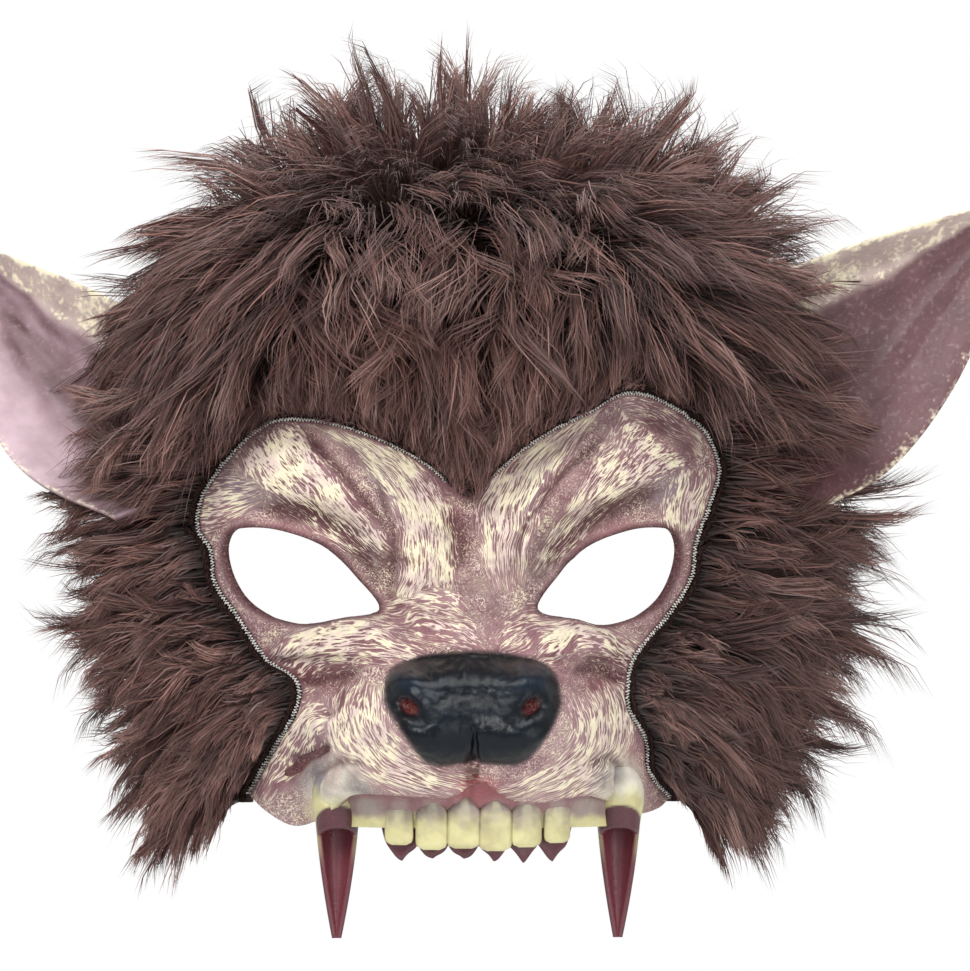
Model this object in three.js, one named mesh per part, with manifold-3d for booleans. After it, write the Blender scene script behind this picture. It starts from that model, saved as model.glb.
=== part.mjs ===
import * as THREE from "three";
import { mergeVertices } from "three/addons/utils/BufferGeometryUtils.js";
import Module from "manifold-3d";

// Wolf half mask in millimetres, +Z up, the muzzle pointing along -Y.
// The origin is on the inside of the forehead, at the midline, where the mask sits on a head.

const wasm = await Module();
wasm.setup();

// Walls and clearances
const LATEX_WALL = 2;
const FABRIC_WALL = 2;
const SEAM_GAP = 0.3;
const PILE_GAP = 0.3;
const EAR_PILE_GAP = 0.9;

// The head form that the mask wraps
const HEAD = { halfWidth: 84, depth: 95, crownHeight: 62, sideSquareness: 2.4, crownSquareness: 2.6 };
const JAW = { taper: 0.13, start: -30, end: -115 };
const CROWN_TOP = 0.97 * HEAD.crownHeight;
const CROWN_SPACING = 1.18;

// The face casting
const FACE = { halfWidth: 75, height: 125 };
const MUZZLE_REACH = 74;
const FACE_MIDLINE = -1.7;
const HEAD_FLOOR = -1.3 * FACE.height;
const FACE_CELL = 6.6;
const SEAM_BLEND = 9;
const MUZZLE_EDGE = { narrowing: 0.9, fadeFrom: 0.82, fadeOver: 0.2 };
const FACE_MARGIN = { left: 1.03, right: 1.06, low: 0.97, high: 0.05 };

// Sections of the muzzle from the forehead down: height and half width as shares of the face,
// reach as a share of the muzzle's reach, and how square the section is across
const MUZZLE_SECTIONS = {
  columns: ["up", "reach", "halfWidth", "squareness"],
  rows: [
    [0.08, 0.0, 0.24, 2],
    [-0.22, 0.06, 0.27, 2],
    [-0.36, 0.14, 0.32, 2],
    [-0.456, 0.31, 0.42, 2.2],
    [-0.512, 0.54, 0.53, 2.6],
    [-0.568, 0.79, 0.61, 3],
    [-0.64, 0.94, 0.69, 3.6],
    [-0.72, 1.0, 0.72, 4],
    [-0.8, 0.98, 0.72, 4],
    [-0.88, 0.93, 0.72, 4],
    [-1.05, 0.86, 0.72, 4],
  ],
};

// Seam between latex and fur, from the left lip end over both brows to the right lip end
const FUR_SEAM = {
  columns: ["across", "up"],
  rows: [
    [-0.79, -0.883], [-0.71, -0.788], [-0.62, -0.676], [-0.625, -0.625], [-0.725, -0.582],
    [-0.822, -0.491], [-0.908, -0.412], [-0.928, -0.335], [-0.972, -0.287], [-0.953, -0.211],
    [-0.826, -0.105], [-0.701, -0.047], [-0.509, -0.049], [-0.292, -0.092], [-0.121, -0.15],
    [0.021, -0.217], [0.141, -0.152], [0.31, -0.076], [0.481, -0.025], [0.619, 0.018],
    [0.77, -0.004], [0.94, -0.072], [1.0, -0.155], [0.96, -0.231], [0.9, -0.325],
    [0.88, -0.403], [0.78, -0.488], [0.625, -0.596], [0.605, -0.683], [0.68, -0.759],
    [0.7, -0.833], [0.8, -0.894],
  ],
};

// Lower edge of the upper lip, from the right lip end back to the left one
const LIP_EDGE = {
  columns: ["across", "up"],
  rows: [
    [0.75, -0.915], [0.634, -0.923], [0.522, -0.889], [0.428, -0.874], [0.227, -0.887],
    [0.122, -0.878], [0.013, -0.838], [-0.088, -0.874], [-0.308, -0.869], [-0.45, -0.874],
    [-0.555, -0.93], [-0.637, -0.948], [-0.738, -0.916],
  ],
};

// One eye hole, measured from the face midline, mirrored for the other eye
const EYE_HOLE = {
  columns: ["across", "up"],
  rows: [
    [0.856, -0.325], [0.826, -0.294], [0.724, -0.286], [0.605, -0.3], [0.489, -0.33],
    [0.377, -0.394], [0.295, -0.466], [0.396, -0.49], [0.5, -0.506], [0.657, -0.49],
    [0.77, -0.457], [0.838, -0.394],
  ],
};

// Raised and sunk forms of the face, on top of the muzzle. across and up are shares of the face,
// length and width are shares of its half width, height is a share of the muzzle's reach,
// turn is in degrees and side is 0 for a mirrored pair, 2 for one form on the midline
const FACE_FORMS = {
  columns: ["name", "side", "across", "up", "length", "width", "turn", "height", "power"],
  rows: [
    ["brow_mass", 0, 0.5, -0.2, 0.44, 0.19, 30, 0.17, 3],
    ["brow_inner_roll", 0, 0.25, -0.3, 0.23, 0.1, 58, 0.06, 2],
    ["brow_outer_knob", 0, 0.86, -0.23, 0.12, 0.1, 10, 0.05, 2],
    ["glabella_furrow", 2, 0.0, -0.3, 0.05, 0.16, 0, -0.05, 2],
    ["lid_hollow", 0, 0.54, -0.27, 0.3, 0.06, 14, -0.08, 2],
    ["eye_bag", 0, 0.5, -0.545, 0.34, 0.06, -10, 0.07, 2],
    ["bridge_fold_upper", 2, 0.0, -0.47, 0.2, 0.04, 0, 0.05, 2],
    ["bridge_fold_lower", 2, 0.05, -0.52, 0.26, 0.035, 0, 0.05, 2],
    ["muzzle_hollow", 0, 0.53, -0.615, 0.12, 0.07, 20, -0.1, 2],
    ["whisker_pad", 0, 0.33, -0.745, 0.24, 0.2, 0, 0.12, 3],
    ["nose_pad", 2, 0.0, -0.69, 0.325, 0.2, 0, 0.1, 6],
    ["nostril_well", 0, 0.225, -0.69, 0.075, 0.05, 24, -0.08, 2],
    ["philtrum", 2, 0.0, -0.82, 0.02, 0.09, 0, -0.05, 2],
    ["upper_lip_roll", 2, 0.02, -0.85, 0.4, 0.045, 0, 0.05, 2],
    ["mouth_corner", 0, 0.6, -0.81, 0.12, 0.03, 40, -0.07, 2],
    ["lip_lobe", 0, 0.68, -0.9, 0.14, 0.06, 10, 0.05, 2],
    ["fang_hood", 0, 0.52, -0.89, 0.11, 0.13, 0, 0.08, 3],
  ],
};

// Teeth
const DENTAL_ARC = { front: -67, fall: 24, halfWidth: 38, centre: 1.6 };
const INCISOR = { count: 6, pitch: 8.7, width: 8.1, top: -111, bottom: -125, shorten: 2, plate: 2.4 };
const INCISOR_FORM = { root: 0.8, edge: 0.9, corner: 3, bevel: 0.8, setBack: 0.6 };
const GUM = { top: -103, bottom: -118, inset: 2.5 };
const BACK_WALL = { inset: 7, top: -104, root: -122.5, tip: -128.5 };
const FANG = { left: -36.5, right: 41.5, rootRadius: 6.6, tipRadius: 1.3, top: -104, bottom: -149 };
const FANG_FORM = { wall: 1.4, openFrom: -121, taper: 1.7, flatten: 1.15, setBack: 3, bow: 5, lean: 4 };

// Ears
const EAR = { length: 105, wall: 2.2, cup: 11, rim: 9, fold: 0.35, rootDepth: 52 };
const EAR_SET = {
  left: { side: -1, across: -86, up: -4, rise: 47, sweep: 44, spread: 0.85 },
  right: { side: 1, across: 80, up: 1, rise: 38, sweep: 8, spread: 1 },
};
const EAR_SECTIONS = {
  columns: ["along", "upper", "lower"],
  rows: [
    [-0.19, 0.21, -0.305], [0.0, 0.229, -0.381], [0.152, 0.219, -0.418], [0.257, 0.203, -0.416],
    [0.381, 0.171, -0.39], [0.524, 0.124, -0.342], [0.667, 0.07, -0.271], [0.8, 0.017, -0.19],
    [0.895, -0.024, -0.129], [0.967, -0.057, -0.081],
  ],
};

// Fur panels
const REAR_EDGE = {
  columns: ["deep", "up"],
  rows: [[0.8, 0.7], [0.8, 0.4], [0.83, 0.1], [0.82, -0.15], [0.74, -0.5], [0.56, -0.91]],
};
const CHEEK_BOTTOM = -113;
const FACE_OPENING_DEPTH = 0.62;
const PANEL_SEAM = { front: -41, rear: -17, bend: 30 };
const PILE = { body: 13, seamBody: 2.5, seamBlend: 30, cheekLock: 33, crownLock: 33, lockWidth: 17 };

// Shape of one lock, as shares of its length and width, and how deep it starts in the pile
const LOCK = { sag: 0.12, bendAt: 0.45, bendWidth: 0.7, thickness: 0.4 };
const LOCK_SPREAD = { sunk: 5, shortest: 0.45, jitter: 0.5 };

// How the fur lies on the forehead and cheeks, and over the crown: sideways, backwards and up
const LIE = {
  down: { side: 0.9, back: 0.15, up: -0.9, upAtSide: 0.35 },
  crown: { side: 0.5, back: -0.1, up: 1, from: 0.35, blend: 0.5 },
  lift: 0.6,
};

// The band that holds the mask on
const STRAP = { thickness: 1.2, height: 12, overlap: 16, bow: 42, roundness: 0.9, clearance: 0.8 };
const STRAP_SEGMENTS = 14;

const COLOURS = {
  latex: [0x9a6f70, 0.55],
  ear: [0xa98a91, 0.6],
  backing: [0x2b1e1c, 0.95],
  pile: [0x4a302d, 0.9],
  elastic: [0x1d1a1a, 0.85],
};

// Small maths
const clamp01 = (t) => Math.min(1, Math.max(0, t));
const smooth = (t) => clamp01(t) ** 2 * (3 - 2 * clamp01(t));
const signedPower = (v, p) => Math.sign(v) * Math.abs(v) ** p;
const radians = (degrees) => (degrees * Math.PI) / 180;

// Seeded random numbers, the same on each run
function randomSource(seed) {
  let state = seed;
  return () => {
    state = (Math.imul(state, 1664525) + 1013904223) >>> 0;
    return state / 2 ** 32;
  };
}

// Smooth reading of a table's columns at a position in its first column
function readSections(table, at) {
  const rows = table.rows;
  const rising = rows[1][0] > rows[0][0];
  let i = 0;
  while (i < rows.length - 2 && (rising ? at > rows[i + 1][0] : at < rows[i + 1][0])) i += 1;
  const t = smooth((at - rows[i][0]) / (rows[i + 1][0] - rows[i][0]));
  return rows[i].slice(1).map((value, n) => value + (rows[i + 1][n + 1] - value) * t);
}

// Width of the head form at a height, as a share of its widest section
function headScale(z) {
  if (z <= 0) return 1 - JAW.taper * smooth((z - JAW.start) / (JAW.end - JAW.start));
  return (1 - (z / HEAD.crownHeight) ** HEAD.crownSquareness) ** (1 / HEAD.crownSquareness);
}

const headDepthScale = (z) => (z <= 0 ? 1 : headScale(z));
const HEAD_CENTRE = HEAD.depth - FABRIC_WALL;

// Outer face of the head form, in front of its centre, at a place in the front view
function headFront(x, z) {
  const share = Math.min(0.9995, Math.abs(x) / (HEAD.halfWidth * headScale(z)));
  const section = (1 - share ** HEAD.sideSquareness) ** (1 / HEAD.sideSquareness);
  return HEAD_CENTRE - HEAD.depth * headDepthScale(z) * section;
}

// How far the muzzle stands in front of the head form
function muzzleRelief(x, z) {
  const [reach, halfWidth, squareness] = readSections(MUZZLE_SECTIONS, z / FACE.height);
  const across = Math.abs(x - FACE_MIDLINE / 2) / (halfWidth * FACE.halfWidth * MUZZLE_EDGE.narrowing);
  const beyond = (Math.abs(x) / FACE.halfWidth - MUZZLE_EDGE.fadeFrom) / MUZZLE_EDGE.fadeOver;
  const sideFade = 1 - smooth(beyond);
  return reach * MUZZLE_REACH * Math.exp(-(across ** squareness)) * sideFade;
}

// One raised or sunk form at a place
function formHeight(form, x, z) {
  const [, side, across, up, length, width, turn, height, power] = form;
  const signs = side === 2 ? [1] : [1, -1];
  let total = 0;
  for (const sign of signs) {
    const dx = sign * (x - FACE_MIDLINE) - across * FACE.halfWidth;
    const dz = z - up * FACE.height;
    const c = Math.cos(radians(turn));
    const s = Math.sin(radians(turn));
    const along = (dx * c + dz * s) / (length * FACE.halfWidth);
    const beside = (dz * c - dx * s) / (width * FACE.halfWidth);
    total += height * MUZZLE_REACH * Math.exp(-(Math.hypot(along, beside) ** power));
  }
  return total;
}

// Curve through the rows of an outline table, as points in millimetres
function outlinePoints(rows, closed, perSpan) {
  const points = rows.map(([across, up]) =>
    new THREE.Vector3(across * FACE.halfWidth, up * FACE.height, 0));
  const curve = new THREE.CatmullRomCurve3(points, closed, "centripetal");
  const count = perSpan * (closed ? points.length : points.length - 1);
  const list = curve.getPoints(count);
  return (closed ? list.slice(0, -1) : list).map((p) => [p.x, p.y]);
}

const seamLine = outlinePoints(FUR_SEAM.rows, false, 2);

// Distance from a place in the front view to the fur seam
function seamDistance(x, z) {
  let nearest = Infinity;
  for (let i = 0; i + 1 < seamLine.length; i += 1) {
    const [ax, az] = seamLine[i];
    const [bx, bz] = seamLine[i + 1];
    const length2 = (bx - ax) ** 2 + (bz - az) ** 2;
    const t = clamp01(((x - ax) * (bx - ax) + (z - az) * (bz - az)) / length2);
    nearest = Math.min(nearest, Math.hypot(x - ax - t * (bx - ax), z - az - t * (bz - az)));
  }
  return nearest;
}

// Outer face of the latex casting, flush with the fur backing along their seam
function faceFront(x, z) {
  const blend = smooth(seamDistance(x, z) / SEAM_BLEND);
  const forms = FACE_FORMS.rows.reduce((sum, form) => sum + formHeight(form, x, z), 0);
  return headFront(x, z) - muzzleRelief(x, z) - blend * forms;
}

// Outer face of the fur panels, by the angle round the head and the height
function panelPoint(angle, z, outward) {
  const exponent = 2 / HEAD.sideSquareness;
  const x = HEAD.halfWidth * headScale(z) * signedPower(Math.sin(angle), exponent);
  const depth = HEAD.depth * headDepthScale(z) * signedPower(Math.cos(angle), exponent);
  const front = Math.cos(angle) > 0 ? muzzleRelief(x, z) : 0;
  const point = new THREE.Vector3(x, HEAD_CENTRE - depth - front, z);
  if (outward === 0) return point;
  return point.addScaledVector(panelNormal(angle, z), outward);
}

function panelNormal(angle, z) {
  const turn = 0.01;
  const rise = 0.4;
  const along = panelPoint(angle + turn, z, 0).sub(panelPoint(angle - turn, z, 0));
  const high = Math.min(CROWN_TOP, z + rise);
  const up = panelPoint(angle, high, 0).sub(panelPoint(angle, high - 2 * rise, 0));
  return along.cross(up).normalize();
}

// A closed wall between two faces of the same grid
function wallSolid(columns, rows, outer, inner) {
  const positions = [];
  for (const face of [outer, inner]) {
    for (let j = 0; j <= rows; j += 1) {
      for (let i = 0; i <= columns; i += 1) positions.push(...face(i / columns, j / rows).toArray());
    }
  }
  const layer = (columns + 1) * (rows + 1);
  const at = (side, i, j) => side * layer + j * (columns + 1) + i;
  const triangles = [];
  const quad = (a, b, c, d) => triangles.push(a, b, c, a, c, d);
  for (let j = 0; j < rows; j += 1) {
    for (let i = 0; i < columns; i += 1) {
      quad(at(0, i, j), at(0, i + 1, j), at(0, i + 1, j + 1), at(0, i, j + 1));
      quad(at(1, i, j), at(1, i, j + 1), at(1, i + 1, j + 1), at(1, i + 1, j));
    }
  }
  for (let i = 0; i < columns; i += 1) {
    quad(at(0, i + 1, 0), at(0, i, 0), at(1, i, 0), at(1, i + 1, 0));
    quad(at(0, i, rows), at(0, i + 1, rows), at(1, i + 1, rows), at(1, i, rows));
  }
  for (let j = 0; j < rows; j += 1) {
    quad(at(0, 0, j), at(0, 0, j + 1), at(1, 0, j + 1), at(1, 0, j));
    quad(at(0, columns, j + 1), at(0, columns, j), at(1, columns, j), at(1, columns, j + 1));
  }
  return solidFrom(positions, triangles);
}

function solidFrom(positions, triangles) {
  const mesh = new wasm.Mesh({
    numProp: 3,
    vertProperties: new Float32Array(positions),
    triVerts: new Uint32Array(triangles),
  });
  return new wasm.Manifold(mesh);
}

function solidFromGeometry(geometry) {
  geometry.deleteAttribute("normal");
  geometry.deleteAttribute("uv");
  const merged = mergeVertices(geometry, 1e-4);
  return solidFrom(merged.attributes.position.array, merged.index.array);
}

// Prism through the part along Y, from an outline in the front view
function frontPrism(points, near, far) {
  const shape = new THREE.Shape(points.map(([x, z]) => new THREE.Vector2(x, z)));
  const geometry = new THREE.ExtrudeGeometry(shape, { depth: far - near, bevelEnabled: false });
  geometry.rotateX(Math.PI / 2);
  geometry.translate(0, far, 0);
  return solidFromGeometry(geometry);
}

// Prism through the part along X, from an outline in the side view
function sidePrism(points, left, right) {
  const shape = new THREE.Shape(points.map(([y, z]) => new THREE.Vector2(y, z)));
  const geometry = new THREE.ExtrudeGeometry(shape, { depth: right - left, bevelEnabled: false });
  geometry.rotateX(Math.PI / 2);
  geometry.rotateZ(Math.PI / 2);
  geometry.translate(left, 0, 0);
  return solidFromGeometry(geometry);
}

// Outline moved outward by a distance, for clearances
function growOutline(points, distance) {
  const area = points.reduce((sum, [x, z], i) => {
    const [nx, nz] = points[(i + 1) % points.length];
    return sum + x * nz - nx * z;
  }, 0);
  const turn = Math.sign(area);
  return points.map(([x, z], i) => {
    const [px, pz] = points[(i + points.length - 1) % points.length];
    const [nx, nz] = points[(i + 1) % points.length];
    const length = Math.hypot(nx - px, nz - pz);
    return [x + (turn * distance * (nz - pz)) / length, z - (turn * distance * (nx - px)) / length];
  });
}

// Closed body of the head form, its surface moved outward by a distance
function headBody(outward) {
  const columns = 64;
  const rows = 30;
  const low = HEAD_FLOOR;
  const high = CROWN_TOP;
  const positions = [];
  for (let j = 0; j <= rows; j += 1) {
    const z = panelHeight(j / rows, low, high);
    for (let i = 0; i < columns; i += 1) {
      positions.push(...panelPoint((i / columns) * 2 * Math.PI, z, outward).toArray());
    }
  }
  const top = positions.length / 3;
  positions.push(0, HEAD_CENTRE, low - outward, 0, HEAD_CENTRE, high + outward);
  const triangles = [];
  for (let i = 0; i < columns; i += 1) {
    const n = (i + 1) % columns;
    for (let j = 0; j < rows; j += 1) {
      const a = j * columns + i;
      const b = j * columns + n;
      triangles.push(a, b, b + columns, a, b + columns, a + columns);
    }
    triangles.push(n, i, top, rows * columns + i, rows * columns + n, top + 1);
  }
  return solidFrom(positions, triangles);
}

// Heights spaced evenly over the side of the head and closer together over its crown
function panelHeight(share, low, high) {
  const z = low + (high * CROWN_SPACING - low) * share;
  return z <= 0 ? z : high * Math.sin((z / (high * CROWN_SPACING)) * (Math.PI / 2));
}

// Face casting
const EYES = [1, -1].map((side) =>
  outlinePoints(EYE_HOLE.rows, true, 2).map(([x, z]) => [FACE_MIDLINE + side * x, z]));

const lipLine = outlinePoints([FUR_SEAM.rows.at(-1), ...LIP_EDGE.rows, FUR_SEAM.rows[0]], false, 2);
const faceOutline = [...seamLine, ...lipLine.slice(1, -1)];

function faceNormal(x, z) {
  const step = 0.2;
  const alongX = (faceFront(x + step, z) - faceFront(x - step, z)) / (2 * step);
  const alongZ = (faceFront(x, z + step) - faceFront(x, z - step)) / (2 * step);
  return new THREE.Vector3(alongX, -1, alongZ).normalize();
}

function faceShell() {
  const left = -FACE.halfWidth * FACE_MARGIN.left;
  const right = FACE.halfWidth * FACE_MARGIN.right;
  const low = -FACE.height * FACE_MARGIN.low;
  const high = FACE.height * FACE_MARGIN.high;
  const columns = Math.round((right - left) / FACE_CELL);
  const rows = Math.round((high - low) / FACE_CELL);
  const place = (u, v) => [left + (right - left) * u, low + (high - low) * v];
  const outer = (u, v) => {
    const [x, z] = place(u, v);
    return new THREE.Vector3(x, faceFront(x, z), z);
  };
  const inner = (u, v) => outer(u, v).addScaledVector(faceNormal(...place(u, v)), -LATEX_WALL);
  return wallSolid(columns, rows, outer, inner);
}

// Depth of the row of teeth at a place across
function arcDepth(x) {
  const share = (x - DENTAL_ARC.centre) / DENTAL_ARC.halfWidth;
  return DENTAL_ARC.front + DENTAL_ARC.fall * share ** 2;
}

// Band of latex along the row of teeth, its upper edge meeting what carries it
function arcBand(columns, rows, bottomAt, top, lowDepth, topDepth) {
  const outer = (u, v) => {
    const x = FANG.left + (FANG.right - FANG.left) * u;
    const z = bottomAt(x) + (top - bottomAt(x)) * v;
    return new THREE.Vector3(x, lowDepth(x) + (topDepth(x) - lowDepth(x)) * v ** 2, z);
  };
  const inner = (u, v) => outer(u, v).add(new THREE.Vector3(0, LATEX_WALL, 0));
  return wallSolid(columns, rows, outer, inner);
}

function gumBand() {
  const low = (x) => arcDepth(x) + GUM.inset;
  return arcBand(10, 2, () => GUM.bottom, GUM.top, low, (x) => faceFront(x, GUM.top) + 0.5);
}

function backWall() {
  const bottomAt = (x) => {
    const wave = Math.cos((Math.PI * (x - DENTAL_ARC.centre)) / INCISOR.pitch + Math.PI / 2) ** 2;
    const shown = Math.abs(x - DENTAL_ARC.centre) < (INCISOR.count / 2) * INCISOR.pitch ? wave : 0;
    return BACK_WALL.root + (BACK_WALL.tip - BACK_WALL.root) * shown;
  };
  const low = (x) => arcDepth(x) + BACK_WALL.inset;
  return arcBand(30, 2, bottomAt, BACK_WALL.top, low, (x) => arcDepth(x) + GUM.inset + 1);
}

function incisor(index) {
  const offset = index - (INCISOR.count - 1) / 2;
  const x = DENTAL_ARC.centre + offset * INCISOR.pitch;
  const edge = Math.abs(offset) / (INCISOR.count / 2);
  const bottom = INCISOR.bottom + INCISOR.shorten * edge ** 2;
  const half = INCISOR.width / 2;
  const shape = new THREE.Shape();
  const { root, edge: rounding, corner, bevel: cut } = INCISOR_FORM;
  shape.moveTo(-half * root, INCISOR.top);
  shape.lineTo(-half, bottom + corner);
  shape.quadraticCurveTo(-half * rounding, bottom, 0, bottom);
  shape.quadraticCurveTo(half * rounding, bottom, half, bottom + corner);
  shape.lineTo(half * root, INCISOR.top);
  const bevel = { bevelThickness: cut, bevelSize: cut, bevelOffset: -cut, bevelSegments: 1 };
  const depth = INCISOR.plate - 2 * bevel.bevelThickness;
  const geometry = new THREE.ExtrudeGeometry(shape, { depth, curveSegments: 2, ...bevel });
  geometry.rotateX(Math.PI / 2);
  const slope = (2 * DENTAL_ARC.fall * (x - DENTAL_ARC.centre)) / DENTAL_ARC.halfWidth ** 2;
  geometry.rotateZ(Math.atan(slope));
  geometry.translate(x, arcDepth(x) + GUM.inset + INCISOR_FORM.setBack, 0);
  return solidFromGeometry(geometry);
}

// Cone along the fang, thinner by a wall, that starts above or below its root
function fangCone(x, thinner, top) {
  const sides = 8;
  const rings = 4;
  const positions = [];
  for (let j = 0; j <= rings; j += 1) {
    const z = top + (FANG.bottom + thinner * 2 - top) * (j / rings);
    const down = clamp01((FANG.top - z) / (FANG.top - FANG.bottom));
    const radius = FANG.rootRadius + (FANG.tipRadius - FANG.rootRadius) * down ** FANG_FORM.taper - thinner;
    const bow = FANG_FORM.bow * down * (1 - down);
    const depth = arcDepth(x) + FANG_FORM.setBack - bow + FANG_FORM.lean * down;
    for (let i = 0; i < sides; i += 1) {
      const a = (i / sides) * 2 * Math.PI;
      const round = Math.max(0.2, radius);
      positions.push(x - round * Math.cos(a), depth + FANG_FORM.flatten * round * Math.sin(a), z);
    }
  }
  const triangles = [];
  const last = rings * sides;
  for (let i = 0; i < sides; i += 1) {
    const n = (i + 1) % sides;
    for (let j = 0; j < rings; j += 1) {
      const a = j * sides;
      triangles.push(a + i, a + n, a + sides + n, a + i, a + sides + n, a + sides + i);
    }
    if (i > 1) triangles.push(0, i, i - 1, last, last + i - 1, last + i);
  }
  return solidFrom(positions, triangles);
}

// Hollow fang, its front wall cut away below the hood
function fang(x) {
  const shell = fangCone(x, 0, FANG.top).subtract(fangCone(x, FANG_FORM.wall, FANG.top + FANG_FORM.wall));
  const wide = 2 * FANG.rootRadius;
  const middle = arcDepth(x) + FANG_FORM.setBack - 0.5;
  const low = FANG.bottom - wide;
  const high = FANG_FORM.openFrom;
  const window = [[x - wide, low], [x + wide, low], [x + wide, high], [x - wide, high]];
  return shell.subtract(frontPrism(window, middle - MUZZLE_REACH, middle));
}

function joinAll(solids) {
  return solids.reduce((whole, solid) => whole.add(solid));
}

// The main body of a solid, without loose offcuts and pinholes left where its pieces meet
function mainBody(solid) {
  return solid.decompose().reduce((best, part) => (part.volume() > best.volume() ? part : best));
}

function buildFace() {
  let shell = faceShell().intersect(frontPrism(faceOutline, -3 * MUZZLE_REACH, HEAD.depth));
  for (const eye of EYES) shell = shell.subtract(frontPrism(eye, -MUZZLE_REACH, HEAD.depth));
  const incisors = Array.from({ length: INCISOR.count }, (_, i) => incisor(i));
  const whole = joinAll([shell, gumBand(), backWall(), ...incisors, fang(FANG.left), fang(FANG.right)]);
  return mainBody(whole);
}

// Ears
function earFrame({ side, across, up: rootUp, rise: riseDegrees, sweep: sweepDegrees }) {
  const sweep = radians(sweepDegrees);
  const rise = radians(riseDegrees);
  const outward = new THREE.Vector3(side * Math.cos(rise), 0, Math.sin(rise));
  const along = outward.clone().multiplyScalar(Math.cos(sweep)).add(new THREE.Vector3(0, Math.sin(sweep), 0));
  const up = new THREE.Vector3(-side * Math.sin(rise), 0, Math.cos(rise));
  const front = along.clone().cross(up).multiplyScalar(side);
  return { along, up, front, root: new THREE.Vector3(across, EAR.rootDepth, rootUp) };
}

// Ear as a cupped leaf, its upper rim folded forward, grown all round by a clearance
function earSolid(set, clearance) {
  const { along, up, front, root } = earFrame(set);
  const first = EAR_SECTIONS.rows[0][0];
  const last = EAR_SECTIONS.rows.at(-1)[0];
  const widest = Math.max(...EAR_SECTIONS.rows.map(([, upper, lower]) => upper - lower)) * EAR.length;
  const face = (offset) => (u, v) => {
    const share = first + (last - first) * u;
    const [upper, lower] = readSections(EAR_SECTIONS, share);
    const across = set.side > 0 ? v : 1 - v;
    const top = upper * set.spread * EAR.length + clearance;
    const bottom = lower * set.spread * EAR.length - clearance;
    const t = bottom + (top - bottom) * across;
    const hollow = EAR.cup * ((top - bottom) / widest) * (1 - (2 * across - 1) ** 2);
    const folded = top - bottom > EAR.rim ? EAR.fold * EAR.rim : 0;
    const rim = folded * smooth((t - top + EAR.rim) / EAR.rim);
    const reach = share * EAR.length + (u > 0.9 ? clearance : 0);
    return root.clone().addScaledVector(along, reach).addScaledVector(up, t)
      .addScaledVector(front, offset - hollow + rim);
  };
  const half = EAR.wall / 2 + clearance;
  return wallSolid(10, 7, face(half), face(-half));
}

// Fur panels
const rearEdge = REAR_EDGE.rows.map(([deep, up]) => [HEAD.depth * deep, up * FACE.height]);
const FAR = 3 * HEAD.halfWidth;
const seamAt = (shift) => [[-FAR, PANEL_SEAM.front + shift], [PANEL_SEAM.bend, PANEL_SEAM.front + shift],
  [rearEdge[0][0], PANEL_SEAM.rear + shift], [FAR, PANEL_SEAM.rear + shift]];
const aboveSeam = sidePrism([...seamAt(SEAM_GAP / 2), [FAR, FAR], [-FAR, FAR]], -FAR, FAR);
const belowSeam = sidePrism([...seamAt(-SEAM_GAP / 2), [FAR, -FAR], [-FAR, -FAR]].reverse(), -FAR, FAR);
const frontOfRear = sidePrism([...rearEdge, [rearEdge.at(-1)[0], -FAR], [-FAR, -FAR], [-FAR, FAR],
  [rearEdge[0][0], FAR]].reverse(), -FAR, FAR);

// The face opening in the fur, open downwards below the lip
const faceOpening = frontPrism(
  growOutline([...seamLine, [seamLine.at(-1)[0], -FAR], [seamLine[0][0], -FAR]], SEAM_GAP),
  -FAR, HEAD.depth * FACE_OPENING_DEPTH);

const PANELS = {
  crown: { from: -112, to: 112, low: -46, high: CROWN_TOP, columns: 24, rows: 10 },
  cheek_left: { from: -112, to: -24, low: CHEEK_BOTTOM, high: -12, columns: 11, rows: 8 },
  cheek_right: { from: 24, to: 112, low: CHEEK_BOTTOM, high: -12, columns: 11, rows: 8 },
};

function panelWall(panel, outerAt, innerAt) {
  const face = (outwardAt) => (u, v) => {
    const angle = radians(panel.from + (panel.to - panel.from) * u);
    const z = panelHeight(v, panel.low, panel.high);
    return panelPoint(angle, z, outwardAt(angle, z));
  };
  return wallSolid(panel.columns, panel.rows, face(outerAt), face(innerAt));
}

function trimPanel(name, solid) {
  const half = name === "crown" ? aboveSeam : belowSeam;
  return solid.intersect(half).subtract(faceOpening);
}

function buildBacking(name) {
  const wall = panelWall(PANELS[name], () => 0, () => -FABRIC_WALL);
  return trimPanel(name, wall).intersect(frontOfRear);
}

// Depth of the dense part of the pile, short beside the face seam
function pileBody(angle, z) {
  const point = panelPoint(angle, z, 0);
  const away = Math.cos(angle) > 0 ? seamDistance(point.x, point.z) : PILE.seamBlend;
  return PILE_GAP + PILE.seamBody + (PILE.body - PILE.seamBody) * smooth(away / PILE.seamBlend);
}

// Direction in which the fur lies: down the forehead, up over the crown, outwards on the cheeks
function pileFlow(point, normal) {
  const crown = smooth((point.z / HEAD.crownHeight - LIE.crown.from) / LIE.crown.blend);
  const side = point.x / HEAD.halfWidth;
  const away = clamp01(Math.abs(side));
  const across = Math.sign(point.x) * LIE.down.side * away;
  const down = new THREE.Vector3(across, LIE.down.back, LIE.down.up + LIE.down.upAtSide * away);
  const up = new THREE.Vector3(LIE.crown.side * side, LIE.crown.back, LIE.crown.up);
  return down.lerp(up, crown).addScaledVector(normal, LIE.lift).normalize();
}

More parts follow.
